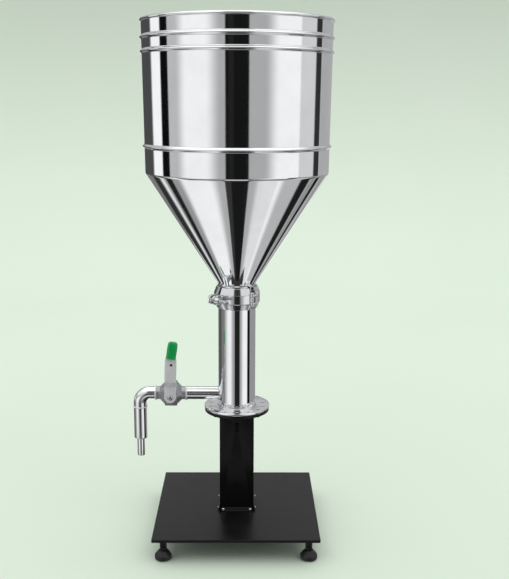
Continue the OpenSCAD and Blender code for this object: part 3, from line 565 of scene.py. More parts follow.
def softened(node, name, width, material, segments=3):
    # A copy of a CAD node with its edges eased
    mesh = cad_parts[node].data.copy()
    shape = bmesh.new()
    shape.from_mesh(mesh)
    bmesh.ops.remove_doubles(shape, verts=shape.verts, dist=1e-6)
    bmesh.ops.dissolve_limit(shape, angle_limit=math.radians(0.6), verts=shape.verts, edges=shape.edges)
    shape.to_mesh(mesh)
    shape.free()
    mesh.materials.clear()
    mesh.materials.append(finish[material])
    source = newObject(name + "Copy", mesh)
    bevel = source.modifiers.new("edges", "BEVEL")
    bevel.width = width * mm
    bevel.segments = segments
    bevel.limit_method = "ANGLE"
    bevel.angle_limit = math.radians(38)
    piece = plainMesh(source, name)
    shadeByAngle(piece, 32)
    return piece


def castShape(nodes, name, voxel, rounds, material):
    # CAD nodes remeshed and relaxed, so that edges and corners melt as a casting's do
    shape = bmesh.new()
    for node in nodes:
        shape.from_mesh(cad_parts[node].data)
    bmesh.ops.remove_doubles(shape, verts=shape.verts, dist=1e-6)
    mesh = bpy.data.meshes.new(name)
    shape.to_mesh(mesh)
    shape.free()
    mesh.materials.append(finish[material])
    source = newObject(name + "Copy", mesh)
    grid = source.modifiers.new("grid", "REMESH")
    grid.mode = "VOXEL"
    grid.voxel_size = voxel * mm
    relax = source.modifiers.new("relax", "SMOOTH")
    relax.factor = 0.5
    relax.iterations = rounds
    piece = plainMesh(source, name)
    piece.data.polygons.foreach_set("use_smooth", [True] * len(piece.data.polygons))
    return piece


def loft(name, sections, material, smoothAbove=40):
    # sections are equal rings of points in metres, joined in order and closed at both ends
    shape = bmesh.new()
    rings = [[shape.verts.new(point) for point in section] for section in sections]
    for lower, upper in zip(rings, rings[1:]):
        for i in range(len(lower)):
            k = (i + 1) % len(lower)
            shape.faces.new((lower[i], lower[k], upper[k], upper[i]))
    shape.faces.new(rings[0])
    shape.faces.new(rings[-1])
    bmesh.ops.recalc_face_normals(shape, faces=shape.faces)
    mesh = bpy.data.meshes.new(name)
    shape.to_mesh(mesh)
    shape.free()
    mesh.materials.append(finish[material])
    piece = newObject(name, mesh)
    shadeByAngle(piece, smoothAbove)
    return piece


def threadedRod(name, radius, pitch, low, high, material, place=None, steps=40):
    # A rod in mm with a helical thread, closed at both ends
    depth = pitch * 0.54
    rows = int((high - low) / pitch * 6)
    sections = []
    for row in range(rows + 1):
        z = low + (high - low) * row / rows
        ease = min(1, (z - low) / pitch, (high - z) / pitch)
        ring = []
        for k in range(steps):
            a = 2 * math.pi * k / steps
            phase = (z / pitch - k / steps) % 1
            r = radius - depth * (1 - abs(2 * phase - 1)) - (1 - ease) * depth * 0.6
            ring.append((r * mm * math.cos(a), r * mm * math.sin(a), z * mm))
        sections.append(ring)
    piece = loft(name, sections, material, 60)
    piece.data.transform(place or Matrix.Identity(4))
    return piece


def circle(radius, count, x=0, y=0):
    return [(x + radius * math.cos(2 * math.pi * i / count), y + radius * math.sin(2 * math.pi * i / count))
            for i in range(count)]


def toMillimetres(node):
    low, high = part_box(node)
    return [v * 1000 for v in low], [v * 1000 for v in high]


# The valve's centre, and a turn that lays +Z along its stem
stemLow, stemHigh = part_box("valve_stem")
pipeLow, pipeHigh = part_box("union_rings")
valvePlace = Vector(((stemLow.x + stemHigh.x) / 2, 0, (pipeLow.z + pipeHigh.z) / 2))
alongStem = Matrix.Translation(valvePlace) @ Matrix.Rotation(math.radians(90), 4, "X")


# hopper

hopperSizes = {
    "steps": 256,
    "neck": 38.05, "sheet": 1.5, "neckTop": 528.0, "knee": 750.0,
    "lowRadius": 179.3, "topRadius": 183.0, "rim": 1035.0, "rimRoll": 3.4,
    "ferrule": 42.55, "face": 502.0,
    "beadHeight": 3.4, "beadHalf": 4.6, "beads": (801.2, 977.5, 1003.3),
}


def hopperOutline():
    sizes = hopperSizes

    def wall(z):
        flare = sizes["topRadius"] - sizes["lowRadius"]
        return sizes["lowRadius"] + flare * (z - sizes["knee"]) / (sizes["rim"] - sizes["knee"])

    outer = rounded([(sizes["ferrule"] - 6.1, sizes["face"]), (sizes["ferrule"], sizes["face"], 0.3),
                     (sizes["ferrule"], sizes["face"] + 3, 0.5),
                     (sizes["neck"], sizes["face"] + 4.64, 0.6), (sizes["neck"], sizes["neckTop"], 14),
                     (sizes["lowRadius"] - 0.1, sizes["knee"] - 1, 9),
                     (wall(sizes["knee"] + 12), sizes["knee"] + 12)], closed=False, steps=8)
    for bead in sizes["beads"]:
        for k in range(-9, 10):
            t = k / 9
            outer.append((wall(bead) + sizes["beadHeight"] * (0.5 + 0.5 * math.cos(math.pi * t)) ** 0.8,
                          bead + t * sizes["beadHalf"]))
    roll, middle = sizes["rimRoll"], (sizes["topRadius"] - 0.9, sizes["rim"])
    outer.append((wall(sizes["rim"] - roll - 1.2), sizes["rim"] - roll - 1.2))
    for degrees in range(-75, 200, 12):
        a = math.radians(degrees)
        outer.append((middle[0] + roll * math.cos(a), middle[1] + roll * math.sin(a)))
    sheet = sizes["sheet"]
    inner = rounded([(wall(sizes["rim"]) - sheet, sizes["rim"] - 2.5),
                     (wall(sizes["knee"] + 12) - sheet, sizes["knee"] + 12),
                     (sizes["lowRadius"] - sheet - 0.1, sizes["knee"] - 1, 8),
                     (sizes["neck"] - sheet, sizes["neckTop"] + 1, 14),
                     (sizes["neck"] - sheet, sizes["face"])], closed=False, steps=8)
    return outer + inner[:-1]


hopper = turnedPart("hopperShell", hopperOutline(), "roundMirror", steps=hopperSizes["steps"])
finishPiece(hopper, "stand", ["hopper_body", "hopper_cone"])
print("hopper made:", len(hopper.data.polygons), "faces")


# pump cylinder and its flange

cylinderSizes = {
    "radius": 38.05, "wall": 1.6, "low": 268.0, "flange": 4.0, "flangeRadius": 67.05, "top": 500.0,
    "ferrule": 42.55, "weld": 1.8,
    "screws": 14, "screwRing": 55.05, "hole": 2.65,
    "stubRadius": 13.45, "stubWeld": 1.5,
}


def makeCylinder():
    sizes = cylinderSizes
    plateTop = sizes["low"] + sizes["flange"]
    bore = sizes["radius"] - sizes["wall"]
    outline = [(bore, sizes["low"]), (sizes["radius"], sizes["low"]),
               (sizes["radius"], sizes["top"] - 4.64, 0.6),
               (sizes["ferrule"], sizes["top"] - 3, 0.5), (sizes["ferrule"], sizes["top"], 0.3),
               (bore, sizes["top"])]
    tube = turnedPart("cylinderTube", rounded(outline), "roundMirror", steps=160)
    finishPiece(tube, "stand", ["pump_cylinder"])

    # weld between tube and flange, ground to a small even fillet
    throat = sizes["weld"]
    weld = [(sizes["radius"] - 0.4, plateTop - 0.3), (sizes["radius"] + throat, plateTop - 0.3),
            (sizes["radius"] + throat, plateTop + 0.1)]
    weld += [(sizes["radius"] + throat * (1 - math.sin(a)),
              plateTop + 0.1 + throat * (1 - math.cos(a))) for a in
             [math.radians(v) for v in range(15, 91, 15)]]
    weld += [(sizes["radius"] - 0.4, plateTop + 0.1 + throat)]
    weldRing = turnedPart("flangeWeld", weld, "weld", steps=160)
    finishPiece(weldRing, "stand")

    loops = [circle(sizes["flangeRadius"], 160), circle(sizes["radius"] - 0.3, 160)]
    for i in range(sizes["screws"]):
        a = math.radians(i * 360 / sizes["screws"] - 90)
        loops.append(circle(sizes["hole"] + 0.2, 24, sizes["screwRing"] * math.cos(a),
                            sizes["screwRing"] * math.sin(a)))
    flange = flatPlate("cylinderFlange", loops, sizes["flange"], 0.6, "flatMirror",
                       Matrix.Translation((0, 0, sizes["low"] * mm)))
    finishPiece(flange, "stand")

    # outlet stub, cut to the curve of the tube, with its weld
    height = valvePlace.z * 1000
    outEnd = toMillimetres("union_rings")[1][0] - 1.6
    count = 72
    rings = {"near": [], "far": [], "farIn": [], "nearIn": []}
    seam = []
    for i in range(count):
        a = 2 * math.pi * i / count
        for key, radius in (("near", sizes["stubRadius"]), ("nearIn", sizes["stubRadius"] - 1.5)):
            y, z = radius * math.sin(a), height + radius * math.cos(a)
            x = -math.sqrt(sizes["radius"] ** 2 - y ** 2) + 0.8
            rings[key].append((x * mm, y * mm, z * mm))
            rings["far" + key[4:]].append((outEnd * mm, y * mm, z * mm))
            if key == "near":
                seam.append(Vector((x - 0.8, y, z)) * mm)
    order = [rings["near"], rings["far"], rings["farIn"], rings["nearIn"], rings["near"]]
    stub = loft("outletStub", order, "pipeMirror")
    shape = bmesh.new()
    shape.from_mesh(stub.data)
    bmesh.ops.remove_doubles(shape, verts=shape.verts, dist=1e-6)
    bmesh.ops.delete(shape, geom=[f for f in shape.faces if len(f.verts) > 4], context="FACES")
    bmesh.ops.recalc_face_normals(shape, faces=shape.faces)
    shape.to_mesh(stub.data)
    shape.free()
    shadeByAngle(stub, 40)
    finishPiece(stub, "stand")
    source = newObject("saddlePath", pathMesh("saddlePath", seam, closed=True))
    runTree(source, trees["pipe"], {"Radius": sizes["stubWeld"] * mm, "Steps": 12,
                                    "Material": finish["weld"]})
    saddle = plainMesh(source, "outletWeld")
    finishPiece(saddle, "stand")


makeCylinder()
print("cylinder made")


# screws

def socketScrew(name, r, headRadius, headHeight, length, material, domed=True):
    # Screw along +Z with its head's underside at z = 0 and a hexagon socket in its head
    top = headRadius * (0.62 if domed else 0.9)
    key = headRadius * 0.42
    outline = [(0.01, -length), (r - 0.4, -length), (r, -length + 0.5), (r, 0), (headRadius, 0, 0.2),
               (headRadius, headHeight * 0.35, 0.5), (top, headHeight, 0.4), (key * 1.08, headHeight)]
    shank = turnedPart(name + "Shank", rounded(outline, closed=False, steps=3), material, steps=24,
                       closed=False)
    low = headHeight * 0.4
    hexagon = [(key * 1.08 * math.cos(math.radians(60 * k)),
                key * 1.08 * math.sin(math.radians(60 * k))) for k in range(6)]
    mouth = [Vector((x, y, headHeight)) * mm for x, y in circle(key * 1.08, 24)]
    wallTop = [Vector((hexagon[k // 4][0] + (hexagon[(k // 4 + 1) % 6][0] - hexagon[k // 4][0]) * (k % 4) / 4,
                       hexagon[k // 4][1] + (hexagon[(k // 4 + 1) % 6][1] - hexagon[k // 4][1]) * (k % 4) / 4,
                       headHeight - 0.1)) * mm for k in range(24)]
    floor = [Vector((v.x, v.y, low * mm)) for v in wallTop]
    shape = bmesh.new()
    shape.from_mesh(shank.data)
    rings = [[shape.verts.new(v) for v in ring] for ring in (mouth, wallTop, floor)]
    for upper, lower in zip(rings, rings[1:]):
        for i in range(24):
            k = (i + 1) % 24
            shape.faces.new((upper[i], upper[k], lower[k], lower[i]))
    shape.faces.new(rings[-1])
    bmesh.ops.remove_doubles(shape, verts=shape.verts, dist=2e-6)
    bmesh.ops.holes_fill(shape, edges=[e for e in shape.edges if e.is_boundary])
    bmesh.ops.recalc_face_normals(shape, faces=shape.faces)
    shape.to_mesh(shank.data)
    shape.free()
    shadeByAngle(shank, 35)
    return shank


# thread radius, head radius, head height and length
screwSizes = {
    "flange": (2.6, 4.25, 5, 9),
    "footBar": (2, 3.2, 1.8, 6),
    "post": (2.5, 4.6, 2.4, 11),
    "barInset": 7,      # from the post's side to the nearest foot bar screw
}


def makeScrews():
    sizes = cylinderSizes
    capScrew = socketScrew("flangeScrew", *screwSizes["flange"], "blackScrew", domed=False)
    capScrew.data.transform(Matrix.Rotation(math.pi, 4, "X"))
    under = toMillimetres("flange_screws")[0][2] + screwSizes["flange"][2]
    screws = ringParts("flangeScrews", capScrew, sizes["screws"], sizes["screwRing"], under, -90,
                       "blackScrew")
    finishPiece(screws, "stand", ["flange_screws"])

    postLow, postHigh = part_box("post")
    barLow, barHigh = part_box("foot_bars")
    spots, front = [], []
    face, side, level = barLow.y, postHigh.x - screwSizes["barInset"] * mm, (barLow.z + barHigh.z) / 2
    for quarter in range(4):
        turn = Matrix.Rotation(math.radians(90 * quarter), 4, "Z")
        for sign in (-1, 1):
            spots.append((turn @ Vector((sign * side, face, level)), turn @ Vector((0, -1, 0))))
    small = socketScrew("barScrew", *screwSizes["footBar"], "screw")
    finishPiece(placedParts("footBarScrews", small, spots, "screw"), "stand",
                ["foot_bar_screws"])

    screwLow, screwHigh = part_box("post_screws")
    headRadius = screwSizes["post"][1] * mm
    for z in (screwLow.z + headRadius, screwHigh.z - headRadius):
        for turn in (1, -1):
            front.append((Vector((0, turn * postLow.y, z)), Vector((0, -turn, 0))))
    dome = socketScrew("postScrew", *screwSizes["post"], "blackScrew")
    finishPiece(placedParts("postScrews", dome, front, "blackScrew"), "stand", ["post_screws"])


makeScrews()
print("screws made")


# outlet pipes

outletSizes = {
    "pipe": 13.45, "wall": 1.5, "bend": 20.0,
    "ring": 15.25, "ringWidth": 3.2, "dropRing": 14.85,
    "dropMouth": 9.2, "dropBore": 7.75,
    "tip": 7.7, "tipBore": 6.5, "tipCollar": 10.7,
}


def pipeRun(name, points, radius, wall, material):
    source = newObject(name + "Path", pathMesh(name, supported(points, False, 4 * mm, 0.8 * mm)))
    runTree(source, trees["pipe"], {"Radius": radius * mm, "Steps": 72, "Material": finish[material]})
    shell = source.modifiers.new("wall", "SOLIDIFY")
    shell.thickness = wall * mm
    shell.offset = -1
    return plainMesh(source, name)


def makeOutlet():
    sizes = outletSizes
    ringLow, ringHigh = toMillimetres("union_rings")
    elbowLow, elbowHigh = toMillimetres("outlet_elbow")
    dropLow, dropHigh = toMillimetres("drop_pipe")
    tipLow, tipHigh = toMillimetres("nozzle_tip")
    centreX = elbowLow[0] + sizes["pipe"]
    z = valvePlace.z * 1000

    points = [Vector((elbowHigh[0], 0, z)) * mm]
    for degrees in range(0, 91, 3):
        a = math.radians(degrees)
        points.append(Vector((centreX + sizes["bend"] * (1 - math.sin(a)), 0,
                              z - sizes["bend"] * (1 - math.cos(a)))) * mm)
    points.append(Vector((centreX, 0, elbowLow[2])) * mm)
    finishPiece(pipeRun("outletElbow", points, sizes["pipe"], sizes["wall"], "pipeMirror"), "stand",
                ["outlet_elbow"])

    # rings: the outer edge is rolled round
    for side, middle in (("Inner", ringHigh[0] - sizes["ringWidth"] / 2),
                         ("Outer", ringLow[0] + sizes["ringWidth"] / 2)):
        half = sizes["ringWidth"] / 2
        outline = rounded([(sizes["pipe"] - 0.2, -half), (sizes["ring"], -half, 0.9),
                           (sizes["ring"], half, 0.9), (sizes["pipe"] - 0.2, half)])
        place = Matrix.Translation((middle * mm, 0, valvePlace.z)) @ Matrix.Rotation(math.radians(90), 4, "Y")
        ring = turnedPart("unionRing" + side, outline, "ring", steps=72, place=place)
        finishPiece(ring, "stand", ["union_rings"])

    dropRing = rounded([(sizes["pipe"] - 0.2, -1), (sizes["dropRing"], -1, 0.7),
                        (sizes["dropRing"], 1, 0.7), (sizes["pipe"] - 0.2, 1)])
    place = Matrix.Translation((centreX * mm, 0, elbowLow[2] * mm))
    finishPiece(turnedPart("dropRing", dropRing, "ring", steps=72, place=place), "stand",
                ["drop_ring"])

    axis = Matrix.Translation((centreX * mm, 0, 0))
    inner = sizes["pipe"] - sizes["wall"]
    outline = [(sizes["dropBore"], dropLow[2] + 0.6), (sizes["dropMouth"], dropLow[2] + 0.1, 0.5),
               (sizes["pipe"], dropLow[2], 1.6), (sizes["pipe"], dropHigh[2], 0.2), (inner, dropHigh[2], 0.2),
               (inner, dropLow[2] + 4, 0.5), (sizes["dropBore"], dropLow[2] + 4, 0.2)]
    finishPiece(turnedPart("dropPipe", rounded(outline), "dropMirror", steps=96, place=axis), "stand",
                ["drop_pipe"])
    bore, collar = sizes["tipBore"], sizes["tipCollar"]
    outline = [(bore, tipLow[2] + 0.3, 0.3), (7.1, tipLow[2], 0.3), (sizes["tip"], tipLow[2] + 0.7, 0.4),
               (sizes["tip"], dropLow[2] + 4), (collar, dropLow[2] + 4), (collar, tipHigh[2]),
               (bore, tipHigh[2])]
    finishPiece(turnedPart("nozzleTip", rounded(outline), "roundMirror", steps=64, place=axis), "stand",
                ["nozzle_tip"])


makeOutlet()
print("outlet made")


# valve

valveSizes = {
    "voxel": 0.55, "relax": 5,
    "leverThick": 3.5, "step": 9.0, "stepFrom": 22, "stepLong": 14, "lean": 2.2,
    "hole": 2.8, "holeSide": 1, "holeAt": 71.0,
    "gripFrom": 84.0, "gripTo": 119.4, "gripWide": 20.6, "gripThick": 11.0, "gripLean": 6.5,
    # height along the lever and half its width there
    "blade": [(-11.9, 1.3), (-11.5, 3.3), (-10.8, 5.1), (-9.6, 7.1), (-8, 8.9), (-6, 10.3), (-4, 11.2),
              (-2, 11.75), (0, 11.9), (6, 11.75), (14, 11.55), (30, 11.25), (42, 11.6), (52, 11.9),
              (78, 11.8), (84, 11.1), (90, 9.8), (92, 9.2), (96, 6.8)],
    # height along the grip and its share of the full width, thickest at the rolled lower edge
    "grip": [(0, 0.9), (0.25, 0.975), (0.9, 1.0), (2.2, 1.0), (3.0, 0.965), (3.6, 0.955), (6, 0.965),
             (12, 0.98), (20, 0.985), (27, 0.97), (31, 0.93), (33, 0.86), (34.4, 0.74), (35.1, 0.6)],
    "gripEnd": 0.42,
    # height along the nut, its radius, and how far from six-sided (0) to round (1) it is
    "nut": [(0, 5.7, 0), (0.3, 6.0, 0), (1.9, 6.0, 0), (2.5, 5.6, 0.5), (3.3, 4.4, 1), (3.8, 2.8, 1),
            (4, 1.0, 1)],
}


def roundedSection(width, depth, corner, count=6):
    # Ring of points of a rounded rectangle in mm, centred on the origin
    points = []
    for cx, cy, first in ((1, 1, 0), (-1, 1, 90), (-1, -1, 180), (1, -1, 270)):
        for k in range(count):
            a = math.radians(first + 90 * k / (count - 1))
            points.append((cx * (width / 2 - corner) + corner * math.cos(a),
                           cy * (depth / 2 - corner) + corner * math.sin(a)))
    return points


def makeLever():
    sizes = valveSizes
    face = -toMillimetres("gland_nut")[0][1] + 0.6      # where the lever's underside lies
    shape = sizes["blade"]
    sections = []
    for z in [v * 0.5 for v in range(-24, 193)]:
        z = max(z, -11.85)
        width = next((a[1] + (b[1] - a[1]) * (z - a[0]) / (b[0] - a[0])
                      for a, b in zip(shape, shape[1:]) if a[0] <= z <= b[0]), shape[0][1])
        rise = min(1, max(0, (z - sizes["stepFrom"]) / sizes["stepLong"]))
        offset = face + sizes["leverThick"] / 2 + sizes["step"] * rise * rise * (3 - 2 * rise)
        sections.append([(x * mm, (-offset - y) * mm, z * mm)
                         for x, y in roundedSection(2 * width, sizes["leverThick"], min(1.2, width * 0.9))])
    lever = loft("leverArm", sections, "lever", 50)
    drill = turnedPart("drill", [(0.01, -30), (sizes["hole"], -30), (sizes["hole"], 30), (0.01, 30)],
                       "lever", steps=40, closed=False)
    holePlace = Matrix.Translation((sizes["holeSide"] * mm, -40 * mm, sizes["holeAt"] * mm))
    drill.data.transform(holePlace @ Matrix.Rotation(math.radians(90), 4, "X"))
    cutter = lever.modifiers.new("hole", "BOOLEAN")
    cutter.object = drill
    cutter.solver = "EXACT"
    place = Matrix.Translation(valvePlace) @ Matrix.Rotation(math.radians(sizes["lean"]), 4, "Y")
    lever = plainMesh(lever, "leverArm", place)
    bpy.data.objects.remove(drill)
    lever.name = "leverArm"
    shadeByAngle(lever, 42)
    finishPiece(lever, "valve_lever", ["lever"])

    # grip: dipped vinyl over the blade, thicker at its rolled lower edge
    middle = -face - sizes["step"] - sizes["leverThick"] / 2
    length = sizes["gripTo"] - sizes["gripFrom"]
    profile = sizes["grip"] + [(length, sizes["gripEnd"])]
    sections = []
    for z, scale in profile:
        width, depth = sizes["gripWide"] * scale, sizes["gripThick"] * (scale if z < 30 else scale * 0.96)
        sections.append([(x * mm, (middle + y) * mm, z * mm)
                         for x, y in roundedSection(width, depth, min(width, depth) * 0.42, 8)])
    grip = loft("leverGrip", sections, "green", 60)
    smooth = grip.modifiers.new("smooth", "SUBSURF")
    smooth.levels = smooth.render_levels = 2
    gripLean = Matrix.Rotation(math.radians(sizes["gripLean"]), 4, "Y")
    tilt = Matrix.Translation((0, 0, sizes["gripFrom"] * mm)) @ gripLean
    grip = plainMesh(grip, "leverGrip", place @ tilt)
    grip.name = "leverGrip"
    grip.data.polygons.foreach_set("use_smooth", [True] * len(grip.data.polygons))
    finishPiece(grip, "valve_lever", ["lever_grip"])

    # domed plug in the spare hole
    front = sizes["leverThick"] - 0.2
    outline = rounded([(0.01, 0.4), (sizes["hole"] - 0.05, 0.4), (sizes["hole"] - 0.05, front - 0.6, 0.3),
                       (0.01, front - 0.2)],
                      closed=False)
    plug = turnedPart("leverPlug", outline, "foot", steps=40, closed=False)
    spot = Matrix.Translation((sizes["holeSide"] * mm, (middle + sizes["leverThick"] / 2) * mm,
                               sizes["holeAt"] * mm))
    plug.data.transform(place @ spot @ Matrix.Rotation(math.radians(90), 4, "X"))
    finishPiece(plug, "valve_lever", ["lever_plug"])

    # nut that holds the lever: a hexagon with a domed end
    nutAt = alongStem @ Matrix.Translation((0, 0, (face + sizes["leverThick"]) * mm))
    hexagon = []
    for z, across, dome in sizes["nut"]:
        ring = []
        for k in range(36):
            a = 2 * math.pi * k / 36
            flat = across * math.cos(math.pi / 6) / math.cos((a % (math.pi / 3)) - math.pi / 6)
            r = (flat + (across * 0.93 - flat) * dome) * mm
            ring.append((r * math.cos(a), r * math.sin(a), z * mm))
        hexagon.append(ring)
    nut = loft("leverNut", hexagon, "screw", 30)
    nut.data.transform(nutAt)
    finishPiece(nut, "valve_lever", ["lever_nut"])


def makeValve():
    sizes = valveSizes
    body = castShape(["valve_body"], "valveBody", sizes["voxel"], sizes["relax"], "cast")
    finishPiece(body, "stand", ["valve_body"])
    end = castShape(["valve_end"], "valveEnd", sizes["voxel"], sizes["relax"], "cast")
    finishPiece(end, "stand", ["valve_end"])
    low, high = toMillimetres("gland_nut")
    outline = rounded([(4.6, -high[1]), (9, -high[1], 0.3), (9, -low[1], 0.4), (4.6, -low[1], 0.2)])
    gland = turnedPart("glandNut", outline, "screw", steps=48, place=alongStem)
    finishPiece(gland, "stand", ["gland_nut"])


makeValve()
makeLever()
print("valve made")


# hopper clamp

clampSizes = {
    "lip": 39.3, "edge": 41.0, "band": 46.5, "half": 21.9, "bandHalf": 9.0,
    "groove": 42.9, "grooveHalf": 4.35, "mouthHalf": 5.7,
    "hinge": 48.55, "hingePin": 5.5, "knuckle": 3.9, "gaps": ((-14, -10.9), (-4.9, 4.9), (10.9, 14)),
    "hingeAt": (315, 450), "lugAt": 220,
    "hingeRoom": 9, "splitRoom": 4,      # degrees that a segment stops short of a hinge and of the split
    "lugX": 60.05, "lugRadius": 9.4, "lugThick": 6.0, "lugFrom": 3, "lugRoot": 4, "slot": 4.4,
}


def clampSegment(name, node, start, end, knuckles, lugSide):
    # One segment of the ring with its knuckle barrels and, next to the split, its slotted lug
    sizes = clampSizes
    level = (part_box("clamp_front")[0].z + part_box("clamp_front")[1].z) / 2
    lift = Matrix.Translation((0, 0, level))
    outline = rounded([(sizes["lip"], -sizes["half"]), (sizes["edge"], -sizes["half"], 0.8),
                       (sizes["band"], -sizes["bandHalf"], 5),
                       (sizes["band"], sizes["bandHalf"], 5), (sizes["edge"], sizes["half"], 0.8),
                       (sizes["lip"], sizes["half"]),
                       (sizes["lip"], sizes["mouthHalf"]), (sizes["groove"], sizes["grooveHalf"]),
                       (sizes["groove"], -sizes["grooveHalf"]),
                       (sizes["lip"], -sizes["mouthHalf"])])
    pieces = [turnedPart(name + "Arc", outline, "clamp", steps=48, place=lift, start=start,
                         sweep=end - start)]
    for hingeAt, side in knuckles:
        pinAt = Matrix.Translation((sizes["hinge"] * mm, side * sizes["hingePin"] * mm, 0))
        place = lift @ Matrix.Rotation(math.radians(hingeAt), 4, "Z") @ pinAt
        for low, high in sizes["gaps"]:
            barrel = rounded([(2.0, low), (sizes["knuckle"], low, 0.6), (sizes["knuckle"], high, 0.6),
                              (2.0, high)], steps=3)
            pieces.append(turnedPart(name + "Barrel", barrel, "clamp", steps=32, place=place))
    if lugSide:
        back, front, notch = sizes["band"] - sizes["lugRoot"], sizes["lugX"], sizes["lugX"] - sizes["slot"]
        lugEnd = [(front + sizes["lugRadius"] * math.cos(math.radians(v)),
                   sizes["lugRadius"] * math.sin(math.radians(v)))
                  for v in range(-90, 91, 10)]
        lower = [v for v in lugEnd if v[1] < -sizes["slot"]]
        upper = [v for v in lugEnd if v[1] > sizes["slot"]]
        reach = front + math.sqrt(sizes["lugRadius"] ** 2 - sizes["slot"] ** 2)
        loop = [(back, -sizes["lugRadius"])] + lower + [(reach, -sizes["slot"]), (notch, -sizes["slot"]),
                                                        (notch, sizes["slot"]), (reach, sizes["slot"])]
        loop += upper + [(back, sizes["lugRadius"])]
        shift = sizes["lugFrom"] if lugSide > 0 else -sizes["lugFrom"] - sizes["lugThick"]
        turn = Matrix.Rotation(math.radians(sizes["lugAt"]), 4,
                               "Z") @ Matrix.Translation((0, (shift + sizes["lugThick"]) * mm, 0))
        pieces.append(flatPlate(name + "Lug", [loop], sizes["lugThick"], 0.7, "clamp",
                                lift @ turn @ Matrix.Rotation(math.radians(90), 4, "X")))
    piece = joinPieces(name, pieces)
    shadeByAngle(piece, 35)
    finishPiece(piece, "stand", [node])


def makeClamp():
    first, second = clampSizes["hingeAt"]
    lug = clampSizes["lugAt"]
    room, split = clampSizes["hingeRoom"], clampSizes["splitRoom"]
    clampSegment("clampFront", "clamp_front", lug + split, first - room, [(first, -1)], 1)
    clampSegment("clampRight", "clamp_right", first + room, second - room, [(first, 1), (second, -1)], 0)
    clampSegment("clampLeft", "clamp_left", second + room, lug + 360 - split, [(second, 1)], -1)
    for node, name in (("hinge_links", "hingeLinks"), ("hinge_pins", "hingePins"), ("bolt_pin", "boltPin")):
        finishPiece(softened(node, name, 0.4, "clamp"), "stand", [node])
    finishPiece(softened("swing_bolt", "swingBolt", 0.3, "screw"), "stand", ["swing_bolt"])
    finishPiece(softened("nut_washer", "nutWasher", 0.25, "screw"), "nut_washer",
                ["nut_washer"])
    finishPiece(castShape(["wing_nut"], "wingNut", 0.3, 4, "clamp"), "wing_nut", ["wing_nut"])


makeClamp()
print("clamp made")


# stand

standSizes = {
    "plateThick": 6, "plateCorner": 2, "plateEdge": 0.8,
    "sleeve": 7, "sleeveBore": 5.2,
    "postEdge": 1.2, "coverEdge": 0.6, "barEdge": 0.5,
}


def makeStand():
    sizes = standSizes
    low, high = toMillimetres("base_plate")
    half, top = high[0], high[2]
    corners = rounded([(x * half, y * half, sizes["plateCorner"]) for x,
                       y in ((-1, -1), (1, -1), (1, 1), (-1, 1))])
    plate = flatPlate("basePlate", [corners], sizes["plateThick"], sizes["plateEdge"], "coat",
                      Matrix.Translation((0, 0, (top - sizes["plateThick"]) * mm)))
    finishPiece(plate, "stand", ["base_plate"])
    sleeveTop = top - sizes["plateThick"] + 0.1
    outline = rounded([(sizes["sleeveBore"], low[2], 0.3), (sizes["sleeve"], low[2], 0.5),
                       (sizes["sleeve"], sleeveTop),
                       (sizes["sleeveBore"], sleeveTop)])
    sleeve = turnedPart("sleeve", outline, "coat", steps=40)
    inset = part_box("foot_stem_2")
    at = (inset[0].x + inset[1].x) / 2
    spots = [(Vector((sx * at, sy * at, 0)), Vector((0, 0, 1))) for sx in (-1, 1) for sy in (-1, 1)]
    finishPiece(placedParts("footSleeves", sleeve, spots, "coat"), "stand")

    finishPiece(softened("post", "standPost", sizes["postEdge"], "coat"), "stand", ["post"])
    finishPiece(softened("bottom_cover", "bottomCover", sizes["coverEdge"], "coat"), "stand",
                ["bottom_cover"])
    finishPiece(softened("foot_bars", "footBars", sizes["barEdge"], "bar"), "stand",
                ["foot_bars"])


footSizes = {
    "thread": 4.95, "pitch": 1.5, "threadFrom": 9.2,
    # radius, height and rounding of each corner, from the underside up
    "pad": [(0.01, 0), (14.3, 0, 0.6), (17, 2.6, 1.8), (17, 9.4, 3.2), (14.2, 13.2, 1.5), (12.6, 15.2, 1.0),
            (10.2, 18.2, 1.5), (8.4, 20, 0.6), (5.1, 20, 0.2), (5.1, 8), (0.01, 8)],
    "collar": [(4.0, 20.05), (6.6, 20.05, 0.3), (7, 20.5, 0.3), (7, 26.5, 0.5), (6.4, 27, 0.3), (4.0, 27)],
}


def makeFeet():
    sizes = footSizes
    for i in range(1, 5):
        low, high = toMillimetres(f"foot_pad_{i}")
        x, y = (low[0] + high[0]) / 2, (low[1] + high[1]) / 2
        place = Matrix.Translation((x * mm, y * mm, 0))
        outline = rounded(sizes["pad"], closed=False)
        pad = turnedPart(f"footPad{i}", outline, "foot", steps=72, closed=False, place=place)
        finishPiece(pad, f"foot_pad_{i}", [f"foot_pad_{i}"])
        stemTop = toMillimetres(f"foot_stem_{i}")[1][2]
        rod = threadedRod(f"stemThread{i}", sizes["thread"], sizes["pitch"], sizes["threadFrom"], stemTop,
                          "stem")
        collar = turnedPart(f"stemCollar{i}", rounded(sizes["collar"]), "stem", steps=48)
        stem = joinPieces(f"footStem{i}", [rod, collar])
        stem.data.transform(place)
        shadeByAngle(stem, 50)
        finishPiece(stem, f"foot_stem_{i}", [f"foot_stem_{i}"])


makeStand()
makeFeet()
print("stand made")


# finishes of the CAD nodes that stay

